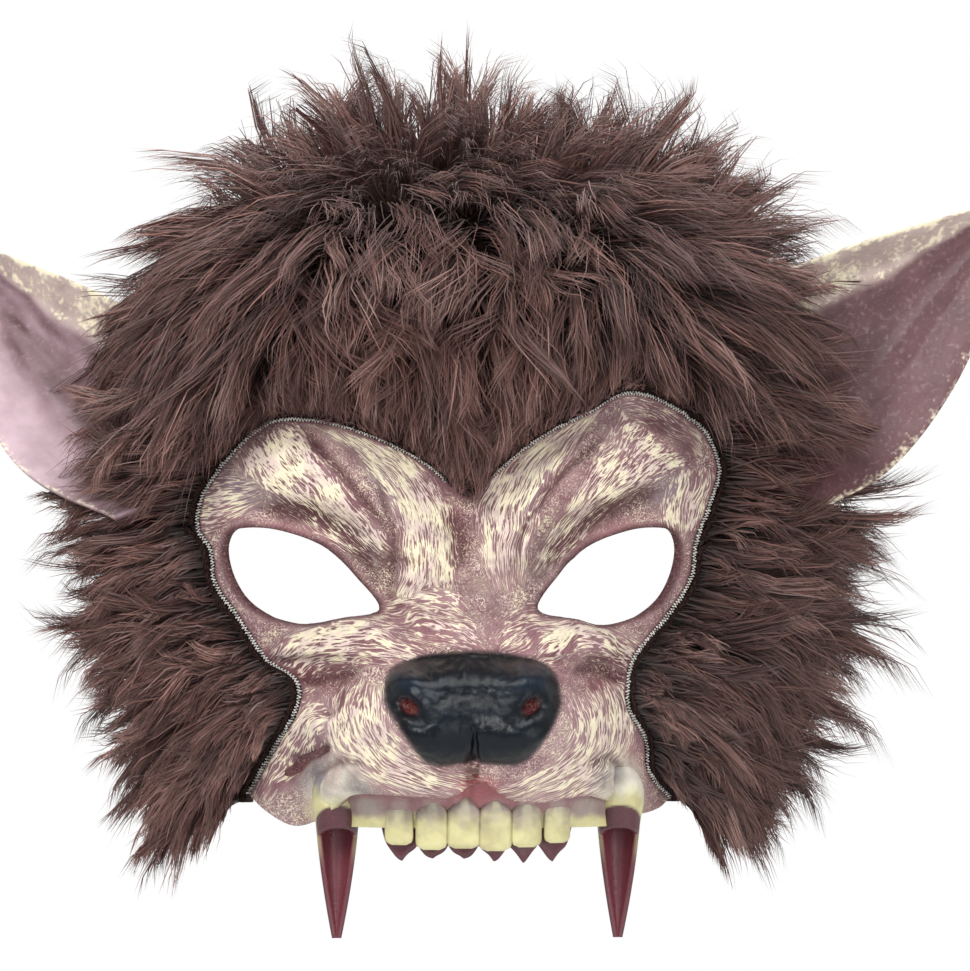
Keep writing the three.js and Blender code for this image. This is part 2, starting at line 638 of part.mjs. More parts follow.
// One lock: a three-sided spike that starts inside the pile, bends once and ends in a point
function lockSolid(point, normal, flow, length, width) {
  const across = new THREE.Vector3().crossVectors(flow, normal).normalize();
  const sag = new THREE.Vector3(0, 0, -LOCK.sag * length);
  const rings = [
    [point, width],
    [point.clone().addScaledVector(flow, LOCK.bendAt * length), LOCK.bendWidth * width],
  ];
  const positions = [];
  for (const [centre, size] of rings) {
    for (const [a, n] of [[-0.5, 0], [0.5, 0], [0, LOCK.thickness]]) {
      positions.push(...centre.clone().addScaledVector(across, a * size)
        .addScaledVector(normal, n * size).toArray());
    }
  }
  positions.push(...point.clone().addScaledVector(flow, length).add(sag).toArray());
  const triangles = [0, 1, 2];
  for (let i = 0; i < 3; i += 1) {
    const n = (i + 1) % 3;
    triangles.push(i, n + 3, n, i, i + 3, n + 3, i + 3, 6, n + 3);
  }
  return solidFrom(positions, triangles);
}

function panelLocks(name, across, up, length, seed) {
  const panel = PANELS[name];
  const random = randomSource(seed);
  const jitter = () => LOCK_SPREAD.jitter * (random() - 0.5);
  const deepest = PILE.body - PILE.seamBody;
  const locks = [];
  for (let j = 0; j < up; j += 1) {
    for (let i = 0; i < across; i += 1) {
      const stagger = j % 2 ? 0.25 : -0.25;
      const u = (i + 0.5 + stagger + jitter()) / across;
      const v = (j + 0.5 + jitter()) / up;
      const angle = radians(panel.from + (panel.to - panel.from) * u);
      const z = panelHeight(v, panel.low, panel.high);
      const body = pileBody(angle, z);
      const fullness = (body - PILE_GAP - PILE.seamBody) / deepest;
      const share = LOCK_SPREAD.shortest + (1 - LOCK_SPREAD.shortest) * fullness;
      const reach = length * share * (1 - 0.4 * (0.5 - random()));
      const normal = panelNormal(angle, z);
      const root = panelPoint(angle, z, Math.max(2 * PILE_GAP, body - LOCK_SPREAD.sunk));
      locks.push(lockSolid(root, normal, pileFlow(root, normal), reach, PILE.lockWidth));
    }
  }
  return locks;
}

const LOCK_ROWS = {
  crown: [11, 5, PILE.crownLock, 7],
  cheek_left: [5, 5, PILE.cheekLock, 21],
  cheek_right: [5, 5, PILE.cheekLock, 33],
};

function buildPile(name, ears) {
  const base = panelWall(PANELS[name], pileBody, () => PILE_GAP).intersect(frontOfRear);
  const core = panelWall(PANELS[name], () => PILE_GAP, () => -PILE.lockWidth);
  const locks = joinAll(panelLocks(name, ...LOCK_ROWS[name])).subtract(core);
  const whole = base.add(locks);
  return mainBody(ears.reduce((pile, ear) => pile.subtract(ear), trimPanel(name, whole)));
}

// Elastic band, sewn inside the crown's rear edges and bowed behind the head
function strapPath() {
  const rearAt = rearEdge[0][0];
  const inset = FABRIC_WALL + STRAP.clearance + STRAP.thickness / 2;
  const sideAt = (y) => {
    const share = Math.abs((HEAD_CENTRE - y) / HEAD.depth);
    return HEAD.halfWidth * (1 - share ** HEAD.sideSquareness) ** (1 / HEAD.sideSquareness) - inset;
  };
  const sewn = [];
  for (let i = 0; i < 4; i += 1) {
    const y = rearAt - STRAP.overlap * (1 - i / 4);
    sewn.push([sideAt(y), y]);
  }
  const bow = [];
  for (let i = 0; i <= STRAP_SEGMENTS; i += 1) {
    const a = Math.PI / 2 - (i / STRAP_SEGMENTS) * Math.PI;
    const y = rearAt + STRAP.bow * Math.abs(Math.cos(a)) ** STRAP.roundness;
    bow.push([sideAt(rearAt) * signedPower(Math.sin(a), STRAP.roundness), y]);
  }
  return [...sewn, ...bow, ...sewn.map(([x, y]) => [-x, y]).reverse()].reverse();
}

function buildStrap() {
  const path = strapPath();
  const face = (offset) => (u, v) => {
    const i = Math.round(u * (path.length - 1));
    const [ax, ay] = path[Math.max(0, i - 1)];
    const [bx, by] = path[Math.min(path.length - 1, i + 1)];
    const length = Math.hypot(bx - ax, by - ay);
    const x = path[i][0] + (offset * (by - ay)) / length;
    const y = path[i][1] - (offset * (bx - ax)) / length;
    return new THREE.Vector3(x, y, STRAP.height * (v - 0.5));
  };
  return wallSolid(path.length - 1, 1, face(STRAP.thickness / 2), face(-STRAP.thickness / 2));
}

function addMesh(name, solid, [colour, roughness]) {
  const mesh = solid.getMesh();
  const geometry = new THREE.BufferGeometry();
  geometry.setAttribute("position", new THREE.BufferAttribute(mesh.vertProperties, 3));
  geometry.setIndex(new THREE.BufferAttribute(mesh.triVerts, 1));
  geometry.computeVertexNormals();
  const material = new THREE.MeshStandardMaterial({ color: colour, roughness, metalness: 0 });
  const node = new THREE.Mesh(geometry, material);
  node.name = name;
  group.add(node);
}

const group = new THREE.Group();
const seat = headBody(SEAM_GAP);
const earSets = Object.entries(EAR_SET);
const earClearances = earSets.map(([, set]) => earSolid(set, EAR_PILE_GAP));

addMesh("face", buildFace(), COLOURS.latex);
for (const [name, set] of earSets) addMesh(`ear_${name}`, earSolid(set, 0).subtract(seat), COLOURS.ear);
for (const name of Object.keys(PANELS)) {
  addMesh(`${name}_backing`, buildBacking(name), COLOURS.backing);
  addMesh(`${name}_pile`, buildPile(name, earClearances), COLOURS.pile);
}
addMesh("elastic_strap", buildStrap(), COLOURS.elastic);

export default group;
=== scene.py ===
import math

import bpy
import numpy as np
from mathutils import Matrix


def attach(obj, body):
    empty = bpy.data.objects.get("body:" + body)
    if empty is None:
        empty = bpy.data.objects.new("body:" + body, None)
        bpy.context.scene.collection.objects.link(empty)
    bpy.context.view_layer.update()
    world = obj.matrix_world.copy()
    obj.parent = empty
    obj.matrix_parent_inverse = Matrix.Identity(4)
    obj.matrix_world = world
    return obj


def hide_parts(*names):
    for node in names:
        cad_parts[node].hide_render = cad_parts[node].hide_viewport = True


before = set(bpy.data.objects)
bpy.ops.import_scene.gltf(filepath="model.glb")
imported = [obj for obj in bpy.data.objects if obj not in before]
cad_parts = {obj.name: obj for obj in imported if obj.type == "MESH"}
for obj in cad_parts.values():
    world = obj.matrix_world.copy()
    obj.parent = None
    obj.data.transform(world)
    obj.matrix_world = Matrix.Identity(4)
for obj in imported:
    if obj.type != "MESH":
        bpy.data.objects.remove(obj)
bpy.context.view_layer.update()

# Half mask of a snarling wolf. Shapes are worked out in millimetres, the front towards -Y,
# and turned into metres when a mesh is made.
MM = 0.001
BODY = "root"

# The head form that the mask wraps, as in the solids
HEAD_HALF_WIDTH = 84.0
HEAD_DEPTH = 95.0
CROWN_HEIGHT = 62.0
SIDE_SQUARENESS = 2.4
CROWN_SQUARENESS = 2.6
JAW_TAPER, JAW_START, JAW_END = 0.13, -30.0, -115.0
FABRIC_WALL = 2.0
LATEX_WALL = 2.0
HEAD_CENTRE = HEAD_DEPTH - FABRIC_WALL
CROWN_TOP = 0.97 * CROWN_HEIGHT

# The face casting
FACE_HALF_WIDTH = 75.0
FACE_HEIGHT = 125.0
MUZZLE_REACH = 74.0
FACE_MIDLINE = -1.7
SEAM_BLEND = 9.0
SEAM_GAP = 0.3
TAPE_HALF, TAPE_THICKNESS = 2.4, 0.6
FACE_CELL = 0.42
LINE_GAP, LINE_LENGTH = 0.88, 7.0
LINING_CELL = 1.3

# Sections of the muzzle: height, reach, half width (shares) and squareness
MUZZLE_SECTIONS = np.array([
    [0.08, 0.0, 0.24, 2], [-0.22, 0.06, 0.27, 2], [-0.36, 0.14, 0.32, 2],
    [-0.456, 0.31, 0.42, 2.2], [-0.512, 0.54, 0.53, 2.6], [-0.568, 0.79, 0.61, 3],
    [-0.64, 0.94, 0.69, 3.6], [-0.72, 1.0, 0.72, 4], [-0.8, 0.98, 0.72, 4],
    [-0.88, 0.93, 0.72, 4], [-1.05, 0.86, 0.72, 4],
])

# Seam between latex and fur, as shares of the face's half width and height
FUR_SEAM = np.array([
    [-0.79, -0.883], [-0.71, -0.788], [-0.62, -0.676], [-0.625, -0.625], [-0.725, -0.582],
    [-0.822, -0.491], [-0.908, -0.412], [-0.928, -0.335], [-0.972, -0.287], [-0.953, -0.211],
    [-0.826, -0.105], [-0.701, -0.047], [-0.509, -0.049], [-0.292, -0.092], [-0.121, -0.15],
    [0.021, -0.217], [0.141, -0.152], [0.31, -0.076], [0.481, -0.025], [0.619, 0.018],
    [0.77, -0.004], [0.94, -0.072], [1.0, -0.155], [0.96, -0.231], [0.9, -0.325],
    [0.88, -0.403], [0.78, -0.488], [0.625, -0.596], [0.605, -0.683], [0.68, -0.759],
    [0.7, -0.833], [0.8, -0.894],
])
LIP_EDGE = np.array([
    [0.75, -0.915], [0.634, -0.923], [0.522, -0.889], [0.428, -0.874], [0.227, -0.887],
    [0.122, -0.878], [0.013, -0.838], [-0.088, -0.874], [-0.308, -0.869], [-0.45, -0.874],
    [-0.555, -0.93], [-0.637, -0.948], [-0.738, -0.916],
])
EYE_HOLE = np.array([
    [0.856, -0.325], [0.826, -0.294], [0.724, -0.286], [0.605, -0.3], [0.489, -0.33],
    [0.377, -0.394], [0.295, -0.466], [0.396, -0.49], [0.5, -0.506], [0.657, -0.49],
    [0.77, -0.457], [0.838, -0.394],
])

# Raised and sunk forms: side (0 mirrored pair, 2 midline), across, up, length, width, turn,
# height, power
FACE_FORMS = [
    (0, 0.5, -0.2, 0.44, 0.19, 30, 0.17, 3), (0, 0.25, -0.3, 0.23, 0.1, 58, 0.06, 2),
    (0, 0.86, -0.23, 0.12, 0.1, 10, 0.05, 2), (2, 0.0, -0.3, 0.05, 0.16, 0, -0.05, 2),
    (0, 0.54, -0.27, 0.3, 0.06, 14, -0.08, 2), (0, 0.5, -0.545, 0.34, 0.06, -10, 0.07, 2),
    (2, 0.0, -0.47, 0.2, 0.04, 0, 0.05, 2), (2, 0.05, -0.52, 0.26, 0.035, 0, 0.05, 2),
    (0, 0.53, -0.615, 0.12, 0.07, 20, -0.1, 2), (0, 0.33, -0.745, 0.24, 0.2, 0, 0.12, 3),
    (2, 0.0, -0.69, 0.325, 0.2, 0, 0.1, 6), (0, 0.225, -0.69, 0.075, 0.05, 24, -0.08, 2),
    (2, 0.0, -0.82, 0.02, 0.09, 0, -0.05, 2), (2, 0.02, -0.85, 0.4, 0.045, 0, 0.05, 2),
    (0, 0.6, -0.81, 0.12, 0.03, 40, -0.07, 2), (0, 0.68, -0.9, 0.14, 0.06, 10, 0.05, 2),
    (0, 0.52, -0.89, 0.11, 0.13, 0, 0.08, 3),
]

# Teeth
ARC_FRONT, ARC_FALL, ARC_HALF_WIDTH, ARC_CENTRE = -67.0, 24.0, 38.0, 1.6
INCISORS, INCISOR_PITCH, INCISOR_WIDTH = 6, 8.7, 8.5
INCISOR_TOP, INCISOR_BOTTOM, INCISOR_SHORTEN = -108.0, -123.8, 1.6
GUM_TOP, GUM_BOTTOM, GUM_INSET = -103.0, -118.0, 2.5
BACK_INSET, BACK_TOP, BACK_ROOT, BACK_TIP = 7.0, -104.0, -122.5, -128.5
FANG_LEFT, FANG_RIGHT = -36.5, 41.5
FANG_ROOT_RADIUS, FANG_TIP_RADIUS = 6.6, 1.3
FANG_TOP, FANG_BOTTOM, FANG_OPEN_FROM = -104.0, -149.0, -121.0
FANG_WALL, FANG_TAPER = 1.4, 1.7
FANG_CROWN, FANG_HOOD, FANG_RIM = -101.0, 10.0, -112.0

# Ears
EAR_LENGTH, EAR_WALL, EAR_CUP, EAR_RIM, EAR_FOLD, EAR_DEPTH = 105.0, 2.2, 11.0, 9.0, 0.35, 52.0
EAR_SET = {
    "ear_left": {"side": -1, "across": -86.0, "up": -4.0, "rise": 47.0, "sweep": 44.0,
                 "spread": 0.85},
    "ear_right": {"side": 1, "across": 80.0, "up": 1.0, "rise": 38.0, "sweep": 8.0,
                  "spread": 1.0},
}
EAR_SECTIONS = np.array([
    [-0.19, 0.21, -0.305], [0.0, 0.229, -0.381], [0.152, 0.219, -0.418], [0.257, 0.203, -0.416],
    [0.381, 0.171, -0.39], [0.524, 0.124, -0.342], [0.667, 0.07, -0.271], [0.8, 0.017, -0.19],
    [0.895, -0.024, -0.129], [0.967, -0.057, -0.081],
])

# Fur panels
REAR_Z = np.array([-0.91, -0.5, -0.15, 0.1, 0.4, 0.7]) * FACE_HEIGHT
REAR_Y = np.array([0.56, 0.74, 0.82, 0.83, 0.8, 0.8]) * HEAD_DEPTH
PANEL_SEAM_FRONT, PANEL_SEAM_REAR, PANEL_SEAM_BEND = -41.0, -17.0, 30.0
CHEEK_BOTTOM = -113.0
STRAP = {"thickness": 1.2, "height": 12.0, "overlap": 16.0, "bow": 42.0, "roundness": 0.9,
         "clearance": 0.8}

GUIDE_STEPS, STRAND_SEGMENTS = 12, 5
# Coats of strands: name, panel, strands, locks, width, seed, how far a strand joins its lock, and shade; the
# right cheek's lower shade is painted shade on that side
COATS = [
    ("crown_fur_long", "crown", 18000, 330, 0.47, 100, 0.86, 1.0),
    ("crown_fur_fine", "crown", 16500, 760, 0.38, 200, 0.72, 0.86),
    ("cheek_left_fur", "cheek_left", 15500, 260, 0.46, 300, 0.78, 0.93),
    # The right cheek's lower shade is painted shade on that side.
    ("cheek_right_fur", "cheek_right", 17000, 280, 0.46, 400, 0.78, 0.74),
]

# Which way the fur lies. heading is the turn from straight up as seen from outside, lift is how far
# it stands off the backing, length is in millimetres
FUR_FLOW = np.array([
    # angle, z, heading, lift, length
    [0, -22, 181, 0.3, 18], [0, -5, 180, 0.35, 32], [-12, 8, 158, 0.45, 42], [12, 8, 204, 0.45, 42],
    [0, 24, 178, 0.55, 50], [-28, 12, 155, 0.45, 42], [28, 12, 205, 0.5, 42], [-42, 4, 182, 0.45, 30],
    [42, 10, 176, 0.5, 28], [-24, 34, 170, 0.6, 50], [24, 34, 192, 0.65, 50], [0, 42, 180, 0.75, 50],
    [-28, 50, 190, 0.95, 44], [28, 50, 172, 1.0, 44], [0, 53, 180, 1.6, 46], [0, 59.5, 0, 2.8, 38],
    [-30, 59, -22, 2.2, 38], [30, 59, 24, 2.2, 33], [-60, 58, -30, 1.2, 31], [60, 58, 55, 1.6, 34],
    [-45, 30, 208, 0.7, 40], [-52, 46, 222, 0.55, 34], [45, 28, 140, 0.8, 40], [52, 46, 100, 1.3, 40],
    [-66, 22, 220, 0.35, 30], [-72, 42, 228, 0.35, 25], [68, 22, 118, 1.1, 38], [72, 42, 75, 1.4, 36],
    [-52, -12, 250, 1.5, 36], [-66, -10, 250, 1.4, 33], [-80, 0, 250, 1.0, 28], [52, -12, 102, 1.8, 44],
    [66, -10, 98, 1.8, 42], [80, 0, 94, 1.6, 36],
    [-56, -30, 254, 1.8, 38], [-72, -30, 258, 1.8, 32], [56, -30, 94, 2.0, 46], [72, -30, 92, 2.0, 43],
    [-58, -40, 262, 1.0, 30], [-80, -34, 266, 1.9, 29], [58, -40, 92, 1.3, 38], [80, -34, 82, 2.1, 43],
    [-48, -62, 262, 0.7, 27], [-72, -62, 256, 1.9, 32], [48, -62, 94, 1.0, 32], [72, -62, 88, 2.1, 46],
    [-42, -84, 236, 0.7, 27], [-66, -88, 236, 1.5, 29], [42, -84, 118, 0.9, 29], [66, -88, 108, 1.7, 38],
    [-48, -110, 196, 0.6, 32], [-72, -108, 200, 0.8, 27], [48, -110, 158, 0.7, 30],
    [72, -108, 140, 0.9, 29],
])


# Measured surface colours, sRGB. Some of them are painted light and shade, as the notes beside them say.
COLOUR = {
    "mauve": (140, 100, 106), "pale": (196, 168, 168), "cream": (239, 229, 198),
    # The olive is painted shade under the brows; the furrow colour is dark paint and painted shade in
    # creases; the groove colour is random mottling and painted shade along the fur seam.
    "mottle_and_seam_shade": (104, 62, 70), "furrow_paint_and_shade": (88, 52, 56), "under_brow_painted_shade": (96, 82, 74),
    "grey": (138, 132, 140), "red": (112, 50, 62),
    # The nose's lighter blue-grey is a painted highlight on the black pad.
    "lid": (176, 128, 132), "rim": (82, 44, 46), "nose": (3, 10, 18), "nose_painted_highlight": (20, 38, 56),
    "nose_edge": (4, 7, 10), "cream_pink": (223, 203, 192),
    "gum": (132, 84, 90), "notch": (168, 84, 88), "nostril": (84, 5, 8), "slit": (92, 26, 40),
    # The fang's darker front maroon is painted shade and its lighter inside maroon painted light; both stand
    # for one raw latex.
    "maroon": (88, 42, 50), "maroon_front_painted_shade": (78, 36, 44), "maroon_inside_painted_light": (112, 56, 64),
    "tooth": (205, 199, 146),
    "tooth_grey": (150, 136, 128),
    # The teeth's lighter cream is a painted highlight down each root ridge; the hood's dark grey is painted
    # shade on its sides.
    "tooth_painted_highlight": (234, 230, 196), "hood_painted_shade": (112, 108, 112), "hood_light": (216, 211, 196),
    # The ears share one paint: the left ear's paler pink is painted light and the right ear's darker mauve
    # painted shade.
    "ear_left": (190, 163, 172), "ear_right": (102, 65, 69), "ear_dark": (88, 56, 60),
    "ear_band": (184, 166, 158), "ear_back": (128, 98, 100),
    # The dark fur root colour is painted shade at the foot of the pile.
    "fur_root_shade": (27, 14, 12), "fur_body": (112, 75, 68), "fur_tip": (158, 130, 122),
    # The undercoat's dark browns are painted shade deep in the pile.
    "fur_fleck": (50, 30, 26), "pile_shade_dark": (24, 14, 13), "pile_shade_light": (58, 40, 36),
    "knit": (66, 48, 44), "elastic": (46, 42, 42), "thread_pale": (236, 232, 224),
    "thread_dark": (34, 28, 28),
}


def linear(colour):
    share = np.asarray(colour, float) / 255.0
    return np.where(share <= 0.04045, share / 12.92, ((share + 0.055) / 1.055) ** 2.4)


TINT = {name: linear(value) for name, value in COLOUR.items()}
SKIN_ROUGHNESS, GLOSSY, BARE_GLOSS = 0.55, 0.3, 0.8
NOSE_CREST = -79.5


# Small maths
def smooth(t):
    t = np.clip(t, 0.0, 1.0)
    return t * t * (3.0 - 2.0 * t)


def signed_power(v, p):
    return np.sign(v) * np.abs(v) ** p


def unit(v):
    return v / np.maximum(np.linalg.norm(v, axis=-1, keepdims=True), 1e-9)


def read_sections(table, at):
    rows = table if table[1, 0] > table[0, 0] else table[::-1]
    i = np.clip(np.searchsorted(rows[:, 0], at) - 1, 0, len(rows) - 2)
    t = smooth((at - rows[i, 0]) / (rows[i + 1, 0] - rows[i, 0]))
    return rows[i, 1:] + (rows[i + 1, 1:] - rows[i, 1:]) * t[..., None]


def value_noise(x, y, cell, seed):
    """Smooth random field of one value a cell, from -1 to 1."""
    table = np.random.default_rng(seed).uniform(-1, 1, (97, 97))
    u, v = x / cell, y / cell
    iu, iv = np.floor(u).astype(int), np.floor(v).astype(int)
    fu, fv = smooth(u - iu), smooth(v - iv)
    pick = lambda a, b: table[a % 97, b % 97]
    low = pick(iu, iv) * (1 - fu) + pick(iu + 1, iv) * fu
    high = pick(iu, iv + 1) * (1 - fu) + pick(iu + 1, iv + 1) * fu
    return low * (1 - fv) + high * fv


def layered_noise(x, y, cell, seed):
    return sum(value_noise(x, y, cell / 2 ** k, seed + k) / 1.6 ** k for k in range(3)) / 2.0


def curve_points(rows, closed, per_span):
    """Centripetal curve through the rows of a table, in millimetres."""
    points = np.asarray(rows, float) * [FACE_HALF_WIDTH, FACE_HEIGHT]
    count = len(points)
    result = []
    for i in range(count if closed else count - 1):
        if closed:
            p = [points[(i + k) % count] for k in (-1, 0, 1, 2)]
        else:
            first = points[i - 1] if i > 0 else 2 * points[0] - points[1]
            last = points[i + 2] if i + 2 < count else 2 * points[-1] - points[-2]
            p = [first, points[i], points[i + 1], last]
        knots = np.cumsum([0] + [max(1e-4, np.linalg.norm(p[k + 1] - p[k])) ** 0.5 for k in range(3)])
        for t in knots[1] + (knots[2] - knots[1]) * np.arange(per_span) / per_span:
            a = [p[k] + (p[k + 1] - p[k]) * (t - knots[k]) / (knots[k + 1] - knots[k]) for k in range(3)]
            b = [a[k] + (a[k + 1] - a[k]) * (t - knots[k]) / (knots[k + 2] - knots[k]) for k in range(2)]
            result.append(b[0] + (b[1] - b[0]) * (t - knots[1]) / (knots[2] - knots[1]))
    if not closed:
        result.append(points[-1])
    return np.array(result)


def line_distance(x, z, line, closed=False):
    """Distance from places in the front view to a chain of points."""
    ends = np.roll(line, -1, axis=0) if closed else line[1:]
    starts = line if closed else line[:-1]
    best = np.full(np.shape(x), 1e9)
    for (ax, az), (bx, bz) in zip(starts, ends):
        length2 = max((bx - ax) ** 2 + (bz - az) ** 2, 1e-9)
        t = np.clip(((x - ax) * (bx - ax) + (z - az) * (bz - az)) / length2, 0, 1)
        best = np.minimum(best, (x - ax - t * (bx - ax)) ** 2 + (z - az - t * (bz - az)) ** 2)
    return np.sqrt(best)


def inside_loop(x, z, loop):
    inside = np.zeros(np.shape(x), bool)
    for (ax, az), (bx, bz) in zip(loop, np.roll(loop, -1, axis=0)):
        if az == bz:
            continue
        crosses = ((az > z) != (bz > z)) & (x < (bx - ax) * (z - az) / (bz - az) + ax)
        inside ^= crosses
    return inside


def loop_distance(x, z, loop):
    """Signed distance to a closed outline, negative inside."""
    return np.where(inside_loop(x, z, loop), -1.0, 1.0) * line_distance(x, z, loop, True)


SEAM_LINE = curve_points(FUR_SEAM, False, 6)
LIP_LINE = curve_points(np.vstack([FUR_SEAM[-1:], LIP_EDGE, FUR_SEAM[:1]]), False, 6)
FACE_OUTLINE = np.vstack([SEAM_LINE, LIP_LINE[1:-1]])
EYE_LOOP = curve_points(EYE_HOLE, True, 6)
EYES = [np.column_stack([FACE_MIDLINE + side * EYE_LOOP[:, 0], EYE_LOOP[:, 1]]) for side in (1, -1)]
FAR = 400.0
STITCH_STEP = 0.42
FACE_OPENING = np.vstack([SEAM_LINE, [[0.8 * FACE_HALF_WIDTH, -FAR], [-0.79 * FACE_HALF_WIDTH, -FAR]]])


# Surfaces of the head and the face
def head_scale(z):
    low = 1 - JAW_TAPER * smooth((z - JAW_START) / (JAW_END - JAW_START))
    share = np.clip(z / CROWN_HEIGHT, 0, 0.9999)
    high = (1 - share ** CROWN_SQUARENESS) ** (1 / CROWN_SQUARENESS)
    return np.where(z <= 0, low, high)


def head_depth_scale(z):
    return np.where(z <= 0, 1.0, head_scale(z))


def head_front(x, z):
    share = np.minimum(0.9995, np.abs(x) / (HEAD_HALF_WIDTH * head_scale(z)))
    section = (1 - share ** SIDE_SQUARENESS) ** (1 / SIDE_SQUARENESS)
    return HEAD_CENTRE - HEAD_DEPTH * head_depth_scale(z) * section


def muzzle_relief(x, z):
    section = read_sections(MUZZLE_SECTIONS, z / FACE_HEIGHT)
    reach, half_width, squareness = section[..., 0], section[..., 1], section[..., 2]
    across = np.abs(x - FACE_MIDLINE * 0.5) / (half_width * FACE_HALF_WIDTH * 0.9)
    side_fade = 1 - smooth((np.abs(x) / FACE_HALF_WIDTH - 0.82) / 0.2)
    return reach * MUZZLE_REACH * np.exp(-(across ** squareness)) * side_fade


def form_sum(x, z):
    total = np.zeros(np.shape(x))
    for side, across, up, length, width, turn, height, power in FACE_FORMS:
        c, s = math.cos(math.radians(turn)), math.sin(math.radians(turn))
        for sign in ((1,) if side == 2 else (1, -1)):
            dx = sign * (x - FACE_MIDLINE) - across * FACE_HALF_WIDTH
            dz = z - up * FACE_HEIGHT
            along = (dx * c + dz * s) / (length * FACE_HALF_WIDTH)
            beside = (dz * c - dx * s) / (width * FACE_HALF_WIDTH)
            total += height * MUZZLE_REACH * np.exp(-(np.hypot(along, beside) ** power))
    return total


def face_front(x, z):
    blend = smooth(line_distance(x, z, SEAM_LINE[::3]) / SEAM_BLEND)
    return head_front(x, z) - muzzle_relief(x, z) - blend * form_sum(x, z)


def face_normal(x, z):
    step = 0.3
    along_x = (face_front(x + step, z) - face_front(x - step, z)) / (2 * step)
    along_z = (face_front(x, z + step) - face_front(x, z - step)) / (2 * step)
    return unit(np.stack([along_x, -np.ones_like(along_x), along_z], axis=-1))


def panel_point(angle, z):
    exponent = 2 / SIDE_SQUARENESS
    x = HEAD_HALF_WIDTH * head_scale(z) * signed_power(np.sin(angle), exponent)
    depth = HEAD_DEPTH * head_depth_scale(z) * signed_power(np.cos(angle), exponent)
    front = np.where(np.cos(angle) > 0, muzzle_relief(x, z), 0.0)
    return np.stack([x, HEAD_CENTRE - depth - front, z], axis=-1)


def panel_frame(angle, z):
    """Directions on a panel: rightwards, upwards and off the surface."""
    step = 0.01
    high = np.minimum(CROWN_TOP, z + 0.4)
    across = unit(panel_point(angle + step, z) - panel_point(angle - step, z))
    up = panel_point(angle, high) - panel_point(angle, high - 0.8)
    normal = unit(np.cross(across, up))
    return across, unit(np.cross(normal, across)), normal


def panel_height(share, low, high):
    z = low + (high * 1.18 - low) * share
    return np.where(z <= 0, z, high * np.sin(z / (high * 1.18) * (math.pi / 2)))


def seam_height(y):
    share = np.clip((y - PANEL_SEAM_BEND) / (HEAD_DEPTH * 0.8 - PANEL_SEAM_BEND), 0, 1)
    return PANEL_SEAM_FRONT + (PANEL_SEAM_REAR - PANEL_SEAM_FRONT) * share


# Meshes
def mesh_object(name, points, faces, material, replaces=(), colours=None, values=None):
    faces = np.asarray(faces, np.int32)
    mesh = bpy.data.meshes.new(name)
    mesh.vertices.add(len(points))
    mesh.vertices.foreach_set("co", (np.asarray(points) * MM).astype(np.float32).ravel())
    mesh.loops.add(faces.size)
    mesh.loops.foreach_set("vertex_index", faces.ravel())
    mesh.polygons.add(len(faces))
    mesh.polygons.foreach_set("loop_start", np.arange(0, faces.size, faces.shape[1], dtype=np.int32))
    mesh.update(calc_edges=True)
    mesh.polygons.foreach_set("use_smooth", np.ones(len(faces), bool))
    for key, data in (colours or {}).items():
        layer = mesh.color_attributes.new(key, "FLOAT_COLOR", "POINT")
        rgba = np.ones((len(points), 4), np.float32)
        rgba[:, :3] = data
        layer.data.foreach_set("color", rgba.ravel())
    for key, data in (values or {}).items():
        layer = mesh.attributes.new(key, "FLOAT", "POINT")
        layer.data.foreach_set("value", np.asarray(data, np.float32))
    piece = bpy.data.objects.new(name, mesh)
    bpy.context.scene.collection.objects.link(piece)
    mesh.materials.append(material)
    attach(piece, BODY)
    if replaces:
        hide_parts(*replaces)
    return piece


def clip_grid(us, vs, signed):
    """Grid cells where signed(u, v) is below zero, their border moved onto the zero line."""
    du, dv = us[1] - us[0], vs[1] - vs[0]
    u, v = np.meshgrid(us, vs)
    for turn in range(3):
        s = signed(u, v)
        gu = (signed(u + 0.1 * du, v) - s) / 0.1
        gv = (signed(u, v + 0.1 * dv) - s) / 0.1
        slope = np.maximum(np.hypot(gu, gv), 1e-9)
        if turn == 0:
            cells = s / slope
            near = np.abs(cells) < 0.7072
            keep = cells < 0.7072
        shift = np.where(near, np.clip(s / slope, -0.8, 0.8), 0.0)
        u = u - shift * gu / slope * du
        v = v - shift * gv / slope * dv
    quad = keep[:-1, :-1] & keep[1:, :-1] & keep[:-1, 1:] & keep[1:, 1:]
    quad &= ~(near[:-1, :-1] & near[1:, :-1] & near[:-1, 1:] & near[1:, 1:])
    index = np.arange(u.size).reshape(u.shape)
    a, b = index[:-1, :-1][quad], index[:-1, 1:][quad]
    c, d = index[1:, 1:][quad], index[1:, :-1][quad]
    quads = np.stack([a, b, c, d], axis=1)
    used, flat = np.unique(quads, return_inverse=True)
    return u.ravel()[used], v.ravel()[used], flat.reshape(-1, 4)


def closed_sheet(quads, count):
    """Faces of a sheet with two sides and a rim, from the quads of one side."""
    rim = border_edges(quads, count)
    walls = np.stack([rim[:, 1], rim[:, 0], rim[:, 0] + count, rim[:, 1] + count], axis=1)
    return np.vstack([quads, quads[:, ::-1] + count, walls])


def grid_quads(columns, rows, wrap=False):
    i, j = np.meshgrid(np.arange(columns), np.arange(rows))
    width = columns if wrap else columns + 1
    n = (i + 1) % columns if wrap else i + 1
    return np.stack([j * width + i, j * width + n, (j + 1) * width + n, (j + 1) * width + i],
                    axis=-1).reshape(-1, 4)


